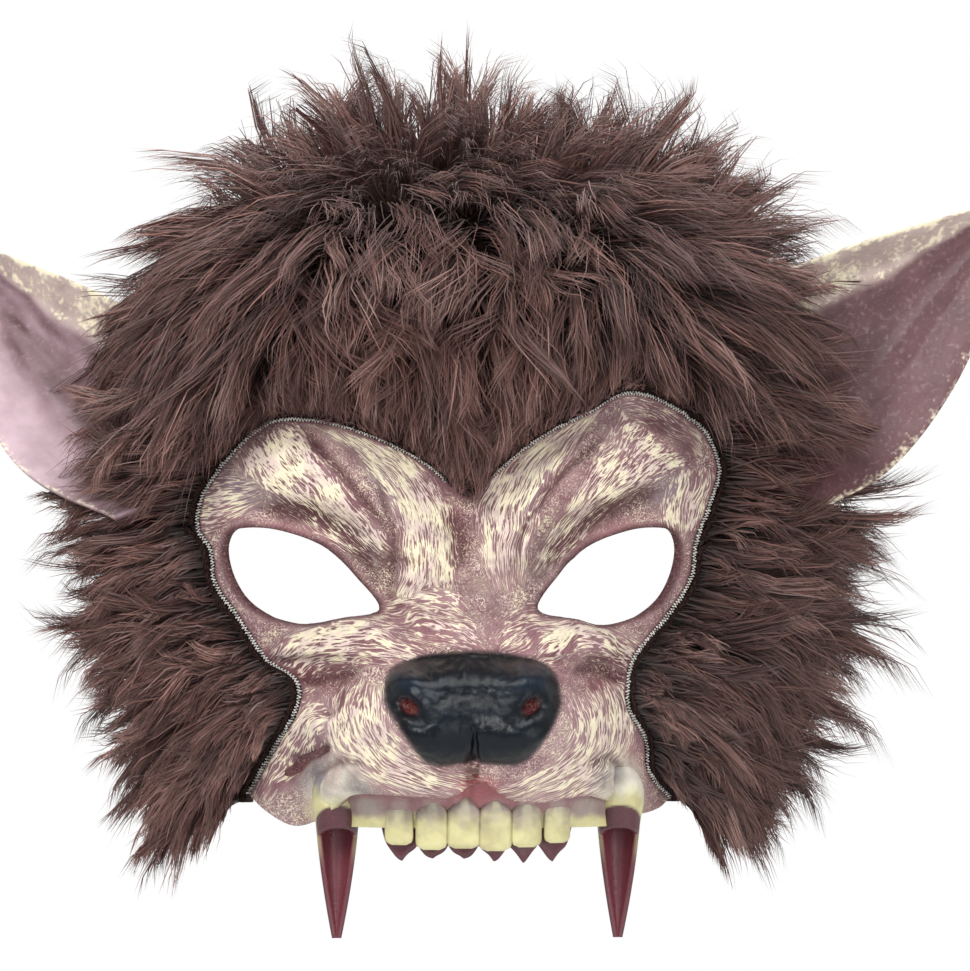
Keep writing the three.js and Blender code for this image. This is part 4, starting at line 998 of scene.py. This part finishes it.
def build_fang(name, x0, material):
    """Hollow fang: domed under its hood, open at the front below, maroon inside."""
    def signed(angle_mm, z):
        angle = angle_mm / FANG_ROOT_RADIUS
        arch = FANG_OPEN_FROM + 2.6 * np.cos(np.clip(angle, -1.5, 1.5))
        return np.minimum(arch - z, (1.42 - np.abs(angle)) * FANG_ROOT_RADIUS)

    half = math.pi * FANG_ROOT_RADIUS
    us = np.linspace(-half, half, 73)
    vs = np.arange(FANG_BOTTOM, FANG_CROWN, 0.6)
    u, z, quads = clip_grid(us, vs, signed)
    angle = u / FANG_ROOT_RADIUS
    outer = fang_surface(x0, angle, z, 0.0)
    inner = fang_surface(x0, angle, z, FANG_WALL)
    rough = 0.35 * layered_noise(u, z, 4, 9)
    down = smooth((FANG_CROWN - 3 - z) / 8 + rough)
    # Painted shade: the hood turns dark grey towards one side of the fang.
    lean = smooth(0.5 - 1.1 * angle / 1.6 + rough)
    rim = FANG_RIM + 0.5 * rough - 5.0 * (1 - np.cos(np.clip(angle * 1.05, -1.57, 1.57)))
    front = np.maximum(smooth((-122 - z) / 8), smooth((1.36 - np.abs(angle)) / 0.1))
    bare = smooth((rim - z) / 0.8 + 0.5) * smooth((1.72 - np.abs(angle)) / 0.25) * (0.55 + 0.45 * front)
    shell = blended(blended(TINT["hood_light"], "hood_painted_shade", lean), "tooth", down)
    # Painted shade: the bare front band is a darker maroon.
    shell = blended(shell, "maroon_front_painted_shade", bare)
    plain = np.r_[bare, np.ones(len(u))]
    faces = closed_sheet(quads, len(u))
    back = np.abs(np.r_[u, u]) > half - 0.01
    # Painted light: the inside is a lighter maroon against the shade of the hollow.
    painted_piece(name, np.vstack([outer, inner]), faces[~back[faces].all(axis=1)], material,
                  np.vstack([shell, np.broadcast_to(TINT["maroon_inside_painted_light"], (len(u), 3))]), -0.5 * plain,
                  gloss=BARE_GLOSS * plain)


# Ears
def build_ear(name, material):
    setting = EAR_SET[name]
    side, size = setting["side"], setting["spread"] * EAR_LENGTH
    sweep, rise = math.radians(setting["sweep"]), math.radians(setting["rise"])
    outward = np.array([side * math.cos(rise), 0, math.sin(rise)])
    along = outward * math.cos(sweep) + np.array([0, math.sin(sweep), 0])
    up = np.array([-side * math.sin(rise), 0, math.cos(rise)])
    front = np.cross(along, up) * side
    root = np.array([setting["across"], EAR_DEPTH, setting["up"]])
    keys = EAR_SECTIONS[:, 0]
    widest = (EAR_SECTIONS[:, 1] - EAR_SECTIONS[:, 2]).max() * EAR_LENGTH
    columns, rows = 108, 74
    u, v = np.meshgrid(np.linspace(0, 1, columns + 1), np.linspace(0, 1, rows + 1))
    share = keys[0] + (keys[-1] - keys[0]) * u
    around = [share + shift for shift in (-0.05, -0.025, 0, 0.025, 0.05)]
    top = np.mean([np.interp(at, keys, EAR_SECTIONS[:, 1]) for at in around], axis=0) * size
    bottom = np.mean([np.interp(at, keys, EAR_SECTIONS[:, 2]) for at in around], axis=0) * size
    across = v
    t = bottom + (top - bottom) * across
    wide = top - bottom
    hollow = EAR_CUP * (wide / widest) * (1 - (2 * across - 1) ** 2)
    rim = EAR_FOLD * EAR_RIM * smooth((t - top + EAR_RIM) / EAR_RIM) * smooth(wide / EAR_RIM - 0.5)
    x, z = share * EAR_LENGTH, t
    folds = np.zeros(x.shape)
    for low, high, height in ((0.3, 0.46, 1.5), (0.5, 0.56, -1.0), (0.66, 0.66, 1.2), (0.2, 0.34, -0.9),
                              (0.83, 0.8, -1.0)):
        place = low + (high - low) * u + 0.02 * np.sin(9 * u + 4 * low)
        folds += height * np.exp(-((across - place) / 0.045) ** 2) * smooth(1.2 - u)
    folds += 0.5 * layered_noise(x, z, 9, 31)
    edge = smooth(np.minimum(across, 1 - across) / 0.06) * smooth((1 - u) / 0.04)
    middle = root + along * x[..., None] + up * z[..., None] + front * (rim - hollow)[..., None]
    outer = (middle + front * (EAR_WALL / 2 + folds * edge)[..., None]).reshape(-1, 3)
    inner = (middle - front * (EAR_WALL / 2)).reshape(-1, 3)
    a, s, x, z = across.ravel(), share.ravel(), x.ravel(), z.ravel()
    warp = 0.05 * layered_noise(x, z, 14, 35)
    band = smooth((a + warp - 0.72) / 0.08)
    streak = layered_noise(x * 0.35, z * 1.6, 9, 37)
    dark = np.clip(0.75 * np.exp(-((a + warp - 0.46) / 0.17) ** 2) * smooth((1.0 - s) / 0.4)
                   + 0.55 * np.clip(streak, 0, 1) + 0.55 * smooth((a + warp - 0.62) / 0.1) * (1 - band), 0, 1)
    # Each ear's colour is looked up by its name: the left one's paler pink is painted light, the right one's
    # darker mauve painted shade.
    colour = blended(blended(TINT[name], "ear_dark", dark), "ear_band", band)
    flecks = layered_noise(x * 0.8, z * 1.5, 3.4, 41)
    edge_light = smooth((a - 0.955) / 0.03) + 0.5 * smooth((0.035 - a) / 0.03)
    cream = band * (0.3 + 0.55 * flecks) + 0.5 * edge_light * (0.8 + 0.4 * flecks)
    cream += 0.25 * smooth((0.14 - a) / 0.14) * (0.7 + flecks)
    browned = 0.5 * band * np.clip(-flecks, 0, 1)
    quads = grid_quads(columns, rows)
    if side < 0:
        quads = quads[:, ::-1]
    zeros = np.zeros(len(outer))
    painted_piece(name + "_skin", np.vstack([outer, inner]), closed_sheet(quads, len(outer)), material,
                  np.vstack([colour, np.broadcast_to(TINT["ear_back"], outer.shape)]),
                  np.r_[cream, zeros], np.r_[browned, zeros], node=name)


# Fur panels
PANELS = {
    "crown": (-90, 90, -46.0, CROWN_TOP), "cheek_left": (-90, -20, CHEEK_BOTTOM, -12.0),
    "cheek_right": (20, 90, CHEEK_BOTTOM, -12.0),
}


def panel_signed(name, angle, z):
    """Distance outside a panel's cut: its sewn seams, the face opening and the rear edge."""
    point = panel_point(angle, z)
    x, y = point[..., 0], point[..., 1]
    seam = seam_height(y) - z if name == "crown" else z - seam_height(y)
    opening = SEAM_GAP - loop_distance(x, z, FACE_OPENING)
    rear = y - np.interp(z, REAR_Z, REAR_Y)
    return np.maximum(np.maximum(seam + SEAM_GAP / 2, opening), rear)


def panel_grid(name, cell):
    start, end, low, high = PANELS[name]
    us = np.radians(np.arange(start, end, math.degrees(cell / HEAD_HALF_WIDTH)))
    rows = int((high - low) * 1.25 / cell)
    vs = np.linspace(0, 1, rows + 1)
    u, v, quads = clip_grid(us, vs, lambda a, b: panel_signed(name, a, panel_height(b, low, high)))
    return u, panel_height(v, low, high), quads


def build_backing(name, material):
    angle, z, quads = panel_grid(name, 2.2)
    point = panel_point(angle, z)
    normal = panel_frame(angle, z)[2]
    count = len(point)
    return mesh_object(f"{name}_cloth", np.vstack([point, point - normal * FABRIC_WALL]),
                       closed_sheet(quads, count), material, (f"{name}_backing",))


def seam_distance(x, z):
    return line_distance(x, z, SEAM_LINE[::3])


def build_undercoat(name, material):
    """Dense short pile at the foot of the fur, dark brown as painted shade deep in the pile."""
    angle, z, quads = panel_grid(name, 2.4)
    point = panel_point(angle, z)
    normal = panel_frame(angle, z)[2]
    away = smooth(seam_distance(point[:, 0], point[:, 2]) / 26)
    deep = 1.2 + 5.5 * away + 1.4 * away * layered_noise(np.degrees(angle) * 1.4, z, 7, 61)
    count = len(point)
    return mesh_object(f"{name}_undercoat", np.vstack([point + normal * deep[:, None],
                                                       point + normal * SEAM_GAP]),
                       closed_sheet(quads, count), material, (f"{name}_pile",))


def rise_along(z):
    """Height measured along the crown's curve rather than straight up."""
    return z + 42 * (1 - np.sqrt(1 - np.clip(z / (1.01 * CROWN_TOP), 0, 1) ** 2))


def read_flow(angle, z):
    """Heading, lift and length of the fur at a place, blended from the table. The heading's vector is
    short where neighbours disagree, so that the fur stands upright at a parting."""
    degrees = np.degrees(angle)
    d2 = (((degrees[:, None] - FUR_FLOW[:, 0]) * 1.35) ** 2
          + (rise_along(z)[:, None] - rise_along(FUR_FLOW[:, 1])) ** 2)
    weight = 1 / (d2 + 12) ** 1.7
    weight /= weight.sum(axis=1, keepdims=True)
    heading = np.radians(FUR_FLOW[:, 2])
    across = weight @ np.sin(heading)
    up = weight @ np.cos(heading)
    size = np.maximum(np.hypot(across, up), 0.55)
    return across / size, up / size, weight @ FUR_FLOW[:, 3], weight @ FUR_FLOW[:, 4]


def scatter(name, count, seed):
    """Random places on a panel, even over its area."""
    local = np.random.default_rng(seed)
    start, end, low, high = PANELS[name]
    angles, heights = np.empty(0), np.empty(0)
    while len(angles) < count:
        a = np.radians(local.uniform(start, end, count * 3))
        v = local.uniform(0, 1, count * 3)
        z = panel_height(v, low, high)
        step = 0.004
        da = panel_point(a + step, z) - panel_point(a - step, z)
        dv = (panel_point(a, panel_height(np.minimum(v + step, 1), low, high))
              - panel_point(a, panel_height(np.maximum(v - step, 0), low, high)))
        area = np.linalg.norm(np.cross(da, dv), axis=1)
        even = local.uniform(0, 1, len(a)) < area / np.quantile(area, 0.97)
        keep = (panel_signed(name, a, z) < -0.6) & even
        angles, heights = np.r_[angles, a[keep]], np.r_[heights, z[keep]]
    return angles[:count], heights[:count]


def guide_paths(angle, z, local, jitter, unruly):
    """Curved paths of locks, from root to tip in even steps."""
    count = len(angle)
    point = panel_point(angle, z)
    right, up, normal = panel_frame(angle, z)
    across, rise, lift, length = read_flow(angle, z)
    upset = np.clip(1 - np.hypot(across, rise), 0, 1)
    turn = local.normal(0, 1, count) * (jitter + 1.3 * upset)
    across, rise = (across * np.cos(turn) + rise * np.sin(turn), rise * np.cos(turn) - across * np.sin(turn))
    tangent = right * across[:, None] + up * rise[:, None]
    away = seam_distance(point[:, 0], point[:, 2])
    grown = np.where(local.uniform(0, 1, count) < 0.16 * unruly, local.uniform(1.2, 1.5, count),
                     local.uniform(0.7, 1.15, count))
    sideways = smooth((np.abs(np.degrees(angle)) - 32) / 26)
    length = np.minimum(length, 8 + (1.0 + 4.0 * sideways) * away) * grown
    lift = lift * local.uniform(0.6, 1.45, count)
    curl = local.normal(0, 0.75, count) * unruly
    phase = local.uniform(0, 2 * math.pi, count)
    sway = local.uniform(0.2, 0.6, count) * unruly
    side = np.cross(normal, tangent)
    spread = 1 - 0.78 * sideways
    path = np.empty((GUIDE_STEPS + 1, count, 3))
    path[0] = point + normal * 1.5
    for k in range(GUIDE_STEPS):
        t = (k + 0.5) / GUIDE_STEPS
        lean = lift * (1.5 * (1 - t) ** 1.1 + 0.12)
        bend = curl * t ** 1.5 + sway * np.sin(phase + 7.5 * t)
        heading = (tangent + normal * lean[:, None] + side * bend[:, None] + np.array([0, 0, -0.3]) * t)
        heading[:, 1] *= spread
        heading = unit(heading)
        path[k + 1] = path[k] + heading * (length / GUIDE_STEPS)[:, None]
    return path


def trim_from_face(path, margin):
    """Shortens paths whose tips would lie over the face."""
    for _ in range(8):
        over = np.full(path.shape[1], -FAR)
        for row in (-1, len(path) // 2):
            place = path[row]
            tuft = 3.5 * np.exp(-((place[:, 0] - 1.6) / 5.0) ** 2) * (place[:, 2] > -45)
            over = np.maximum(over, -loop_distance(place[:, 0], place[:, 2], FACE_OPENING) - tuft)
        hang = (over > margin) & (path[-1, :, 1] < 60)
        if not hang.any():
            break
        path[:, hang] = path[0, hang] + (path[:, hang] - path[0, hang]) * 0.74
    return path


def build_strands(name, panel, count, clumps, width, seed, clumping, shade, material):
    local = np.random.default_rng(seed)
    ca, cz = scatter(panel, clumps, seed + 1)
    guides = trim_from_face(guide_paths(ca, cz, local, 0.26, 1.0), 0.4)
    guide_tone = local.normal(0, 1, clumps)
    angle, z = scatter(panel, count, seed + 2)
    path = guide_paths(angle, z, local, 0.14, 0.5)
    nearest = np.empty(count, int)
    for k in range(0, count, 4000):
        d = ((path[0, k:k + 4000, None, :] - guides[0][None]) ** 2).sum(axis=2)
        nearest[k:k + 4000] = d.argmin(axis=1)
    t = np.linspace(0, 1, STRAND_SEGMENTS + 1)
    rows = np.round(t * GUIDE_STEPS).astype(int)
    own = path[rows]
    lead = guides[rows][:, nearest]
    reach = local.uniform(0.72, 1.05, count)
    lead = lead[0] + (lead - lead[0]) * reach[None, :, None]
    strength = np.clip(clumping + local.normal(0, 0.15, count), 0, 0.97)
    follow = (strength[None] * smooth(t * 1.25)[:, None] ** 0.75)[..., None]
    strand = lead * follow + own * (1 - follow)
    strand = strand + local.normal(0, 0.32, strand.shape) * t[:, None, None]
    strand = trim_from_face(strand, local.uniform(-1.6, 0.2, count))
    return ribbon_mesh(name, panel, strand, width * local.uniform(0.7, 1.35, count), guide_tone[nearest],
                       local, material, shade)


def ribbon_mesh(name, panel, strand, width, clump_tone, local, material, shade):
    """Flat tapering ribbons along strands, coloured from a dark root, which is painted shade, to a lighter
    tip.
    """
    steps, count, _ = strand.shape
    forward = unit(np.gradient(strand, axis=0))
    out = unit(strand - np.array([0.0, 60.0, -20.0]))
    side = unit(np.cross(forward, out))
    other = np.cross(side, forward)
    roll = local.uniform(-0.9, 0.9, count)
    side = side * np.cos(roll)[None, :, None] + other * np.sin(roll)[None, :, None]
    t = np.linspace(0, 1, steps)
    profile = np.minimum(1.0, 0.55 + 2.2 * t) * (1 - t ** 2.4) ** 0.8
    half = 0.5 * width[None] * profile[:, None]
    left = strand[:-1] - side[:-1] * half[:-1, :, None]
    right = strand[:-1] + side[:-1] * half[:-1, :, None]
    points = np.concatenate([left, right, strand[-1:]], axis=0)
    points = points.transpose(1, 0, 2)
    n = steps - 1
    pattern = []
    for k in range(n - 1):
        pattern += [(k, n + k, n + k + 1), (k, n + k + 1, k + 1)]
    pattern.append((n - 1, 2 * n - 1, 2 * n))
    pattern = np.array(pattern)
    stride = 2 * n + 1
    faces = (pattern[None] + (np.arange(count) * stride)[:, None, None]).reshape(-1, 3)
    # The dark roots are painted shade; where the crown's top is lit they are lighter, as painted light.
    root, body, tip = TINT["fur_root_shade"], TINT["fur_body"], TINT["fur_tip"]
    lit = 0.85 * smooth((strand[0, :, 2] - 31) / 11)[:, None, None]
    root = root * (1 - lit) + body * lit
    level = np.clip(0.5 + 0.2 * clump_tone + local.normal(0, 0.16, count), 0, 1.25)[:, None, None]
    along = t[None, :, None]
    base = root + (body - root) * smooth(along * 1.5)
    light = np.clip(level - 0.55, 0, 1) * smooth(along * 1.6 - 0.3) * 1.3
    tone = base * (0.4 + level) + (tip - body) * light
    warm = 1 + local.normal(0, 0.07, count)[:, None, None] * np.array([1.0, -0.3, -0.7])
    tone = np.clip(tone * warm * shade, 0.003, 1)
    colours = np.concatenate([tone[:, :n], tone[:, :n], tone[:, n:]], axis=1).reshape(-1, 3)
    return mesh_object(name, points.reshape(-1, 3), faces, material, (f"{panel}_pile",),
                       {"tone": colours})


def fur_material():
    kit = Shading("fur_hair", 0.5, 0.35)
    flecks = kit.ranged(kit.noise(320.0, 2.0), 0.3, 0.75, 0.0, 0.3)
    kit.shade("Base Color", kit.mixed(flecks, kit.attribute("tone", "Color"), TINT["fur_fleck"]))
    kit.shade("Sheen Weight", 0.15)
    return kit.material


def pile_shade_material():
    kit = Shading("fur_undercoat", 0.95, 0.1)
    fine = kit.noise(1200.0, 4.0)
    # Painted shade: the undercoat is dark brown where the deep pile lies in shade.
    kit.shade("Base Color", kit.mixed(kit.ranged(fine, 0.35, 0.7), TINT["pile_shade_dark"], TINT["pile_shade_light"]))
    kit.bump(fine, 1.0, 0.0015)
    return kit.material


def cloth_material(name, colour, rib):
    """Knitted cloth: fine ribs crossed by a looser row pattern."""
    kit = Shading(name, 0.9, 0.2)
    waves = []
    for direction, scale in (("Z", rib), ("X", rib * 0.8)):
        wave = kit.nodes.new("ShaderNodeTexWave")
        wave.wave_type = "BANDS"
        wave.bands_direction = direction
        for key, value in (("Scale", scale), ("Distortion", 1.2), ("Vector", kit.place())):
            kit.put(value, wave.inputs[key])
        waves.append(wave.outputs["Fac"])
    weave = kit.math("MULTIPLY", *waves)
    base = kit.mixed(weave, TINT[colour] * 0.45, TINT[colour])
    worn = kit.ranged(kit.noise(700.0), 0.45, 0.8, 0.0, 0.5)
    kit.shade("Base Color", kit.mixed(worn, base, TINT[colour] * 1.6))
    kit.shade("Sheen Weight", 0.25)
    kit.bump(weave, 0.8, 0.0006)
    return kit.material


# Overlock stitches along the face seam and the elastic band
def tube(path, radius, sides=5):
    forward = unit(np.gradient(path, axis=0))
    helper = np.array([0.0, 1.0, 0.0])
    side = unit(np.cross(forward, helper))
    other = np.cross(side, forward)
    a = np.linspace(0, 2 * math.pi, sides, endpoint=False)
    ring = side[:, None] * np.cos(a)[None, :, None] + other[:, None] * np.sin(a)[None, :, None]
    points = (path[:, None] + radius * ring).reshape(-1, 3)
    return points, grid_quads(sides, len(path) - 1, True)


def seam_path():
    points = SEAM_LINE
    step = np.r_[0, np.cumsum(np.linalg.norm(np.diff(points, axis=0), axis=1))]
    count = int(step[-1] / STITCH_STEP)
    at = np.linspace(0, step[-1], count)
    x, z = np.interp(at, step, points[:, 0]), np.interp(at, step, points[:, 1])
    tangent = unit(np.column_stack([np.gradient(x), np.gradient(z)]))
    return x, z, tangent, at


def build_seam_tape(material):
    """The panels' turned-in edge, sewn flat behind the seam."""
    x, z, tangent, _ = (part[::4] for part in seam_path())
    v = np.linspace(-TAPE_HALF, TAPE_HALF, 5)[:, None]
    px, pz = x - tangent[:, 1] * v, z + tangent[:, 0] * v
    normal = face_normal(px, pz)
    place = np.stack([px, face_front(px, pz), pz], axis=-1)
    layers = [(place - normal * (LATEX_WALL + SEAM_GAP + depth)).reshape(-1, 3)
              for depth in (0, TAPE_THICKNESS)]
    quads = grid_quads(len(x) - 1, len(v) - 1)
    mesh_object("seam_tape", np.vstack(layers), closed_sheet(quads, len(layers[0])), material)


def build_stitches(name, colour, shift):
    x, z, tangent, at = seam_path()
    local = np.random.default_rng(91 + shift)
    wander = 0.25 * layered_noise(at, np.full(len(at), 3.0), 4.0, 77)
    zigzag = np.where((np.arange(len(x)) + shift) % 2 == 0, 0.5, -0.45)
    zigzag = zigzag * local.uniform(0.5, 1.3, len(x)) + wander
    sx = x - tangent[:, 1] * zigzag
    sz = z + tangent[:, 0] * zigzag
    y = np.minimum(face_front(sx, sz), face_front(x, z)) - 0.6 - local.uniform(0, 0.5, len(x))
    y = y + 9 * np.exp(-((x - 1.6) / 4.5) ** 2)
    points, quads = tube(np.stack([sx, y, sz], axis=-1), 0.3 if shift == 0 else 0.22)
    kit = Shading(name, 0.75, 0.3)
    fibre = kit.noise(2600.0, 2.0)
    kit.shade("Base Color", kit.mixed(kit.ranged(fibre, 0.35, 0.7), TINT[colour] * 0.6, TINT[colour]))
    kit.bump(fibre, 0.6, 0.0002)
    mesh_object(name, points, quads, kit.material)


def build_strap(material):
    rear = HEAD_DEPTH * 0.8
    inset = FABRIC_WALL + STRAP["clearance"] + STRAP["thickness"] / 2

    def side_at(y):
        share = np.abs((HEAD_CENTRE - y) / HEAD_DEPTH)
        return HEAD_HALF_WIDTH * (1 - share ** SIDE_SQUARENESS) ** (1 / SIDE_SQUARENESS) - inset

    sewn_y = np.linspace(rear - STRAP["overlap"], rear, 8)[:-1]
    a = np.linspace(math.pi / 2, -math.pi / 2, 121)
    bow_x = side_at(rear) * signed_power(np.sin(a), STRAP["roundness"])
    bow_y = rear + STRAP["bow"] * np.abs(np.cos(a)) ** STRAP["roundness"]
    x = np.r_[side_at(sewn_y), bow_x, -side_at(sewn_y)[::-1]]
    y = np.r_[sewn_y, bow_y, sewn_y[::-1]]
    tangent = unit(np.column_stack([np.gradient(x), np.gradient(y)]))
    v = np.linspace(-0.5, 0.5, 13)
    thick = STRAP["thickness"] / 2 * (1 - 0.35 * np.abs(2 * v) ** 6)
    layers = []
    for sign in (1, -1):
        px = x[None] + sign * thick[:, None] * tangent[None, :, 1]
        py = y[None] - sign * thick[:, None] * tangent[None, :, 0]
        pz = np.broadcast_to(v[:, None] * STRAP["height"], px.shape)
        layers.append(np.stack([px, py, pz], axis=-1).reshape(-1, 3))
    quads = grid_quads(len(x) - 1, len(v) - 1)[:, ::-1]
    return mesh_object("elastic_band", np.vstack(layers), closed_sheet(quads, len(layers[0])), material,
                       ("elastic_strap",))


# Stage, in metres
CAMERA_TURN, CAMERA_DISTANCE, CAMERA_ASIDE, CAMERA_UP = 3.0, 3.2, 0.00644, -0.0239
FRAME_WIDTH, SENSOR = 0.2716, 36.0
FLOOR_HALF, FLOOR_Z = 1.5, -0.45
# Name, place, size, power and aim
LAMPS = [
    ("key", (-0.75, -1.3, 0.95), 0.8, 25.0, (0, 0, -0.03)),
    ("fill", (1.1, -1.2, 0.25), 1.2, 11.0, (0, 0, -0.03)),
    ("top", (0.1, 0.1, 1.4), 1.0, 12.0, (0, 0, 0)),
]


def build_stage():
    scene = bpy.context.scene
    turn = math.radians(CAMERA_TURN)
    view = np.array([math.sin(turn), math.cos(turn), 0.0])
    right = np.array([math.cos(turn), -math.sin(turn), 0.0])
    target = CAMERA_ASIDE * right + np.array([0, 0, CAMERA_UP])
    camera_data = bpy.data.cameras.new("camera")
    camera_data.sensor_width = SENSOR
    camera_data.lens = SENSOR * CAMERA_DISTANCE / FRAME_WIDTH
    camera = bpy.data.objects.new("camera", camera_data)
    camera.location = tuple(target - view * CAMERA_DISTANCE)
    camera.rotation_euler = (math.pi / 2, 0, -turn)
    scene.collection.objects.link(camera)
    scene.camera = camera
    for name, place, size, power, aim in LAMPS:
        lamp = bpy.data.lights.new(name, "AREA")
        lamp.size = size
        lamp.energy = power
        light = bpy.data.objects.new(name, lamp)
        light.location = place
        direction = np.array(aim) - np.array(place)
        light.rotation_euler = (math.acos(-direction[2] / np.linalg.norm(direction)), 0,
                                math.atan2(-direction[0], direction[1]))
        scene.collection.objects.link(light)
    world = bpy.data.worlds.new("studio")
    scene.world = world
    world.use_nodes = True
    nodes, links = world.node_tree.nodes, world.node_tree.links
    background = nodes["Background"]
    background.inputs["Color"].default_value = (1, 1, 1, 1)
    background.inputs["Strength"].default_value = 0.55
    seen = nodes.new("ShaderNodeBackground")
    seen.inputs["Color"].default_value = (1, 1, 1, 1)
    seen.inputs["Strength"].default_value = 1.0
    path = nodes.new("ShaderNodeLightPath")
    mix = nodes.new("ShaderNodeMixShader")
    links.new(path.outputs["Is Camera Ray"], mix.inputs[0])
    links.new(background.outputs[0], mix.inputs[1])
    links.new(seen.outputs[0], mix.inputs[2])
    links.new(mix.outputs[0], nodes["World Output"].inputs[0])
    scene.view_settings.view_transform = "Standard"
    mesh = bpy.data.meshes.new("floor")
    corners = ((-1, -1), (1, -1), (1, 1), (-1, 1))
    mesh.from_pydata([(FLOOR_HALF * x, FLOOR_HALF * y, FLOOR_Z) for x, y in corners], [], [(0, 1, 2, 3)])
    floor = bpy.data.objects.new("floor", mesh)
    scene.collection.objects.link(floor)
    paper = Shading("floor_paper", 0.9, 0.2)
    paper.shade("Base Color", (0.86, 0.86, 0.86))
    mesh.materials.append(paper.material)


gum_skin = painted_latex("gum_paint", 0.45, 900.0)
enamel = painted_latex("tooth_paint", 0.38, 1400.0)
ear_skin = painted_latex("ear_latex_paint", 0.5, 700.0)
build_face(brushed_skin("skin_paint"))
build_gum(gum_skin)
build_incisors(enamel)
build_back_wall(enamel)
build_fang("fang_left", FANG_LEFT, enamel)
build_fang("fang_right", FANG_RIGHT, enamel)
build_ear("ear_left", ear_skin)
build_ear("ear_right", ear_skin)

knit = cloth_material("knit_backing", "knit", 260.0)
pile_shade = pile_shade_material()
hair = fur_material()
for panel in PANELS:
    build_backing(panel, knit)
    build_undercoat(panel, pile_shade)
for coat in COATS:
    build_strands(*coat, hair)

build_seam_tape(knit)
build_stitches("seam_thread_pale", "thread_pale", 0)
build_stitches("seam_thread_dark", "thread_dark", 1)
build_strap(cloth_material("woven_elastic", "elastic", 420.0))
build_stage()
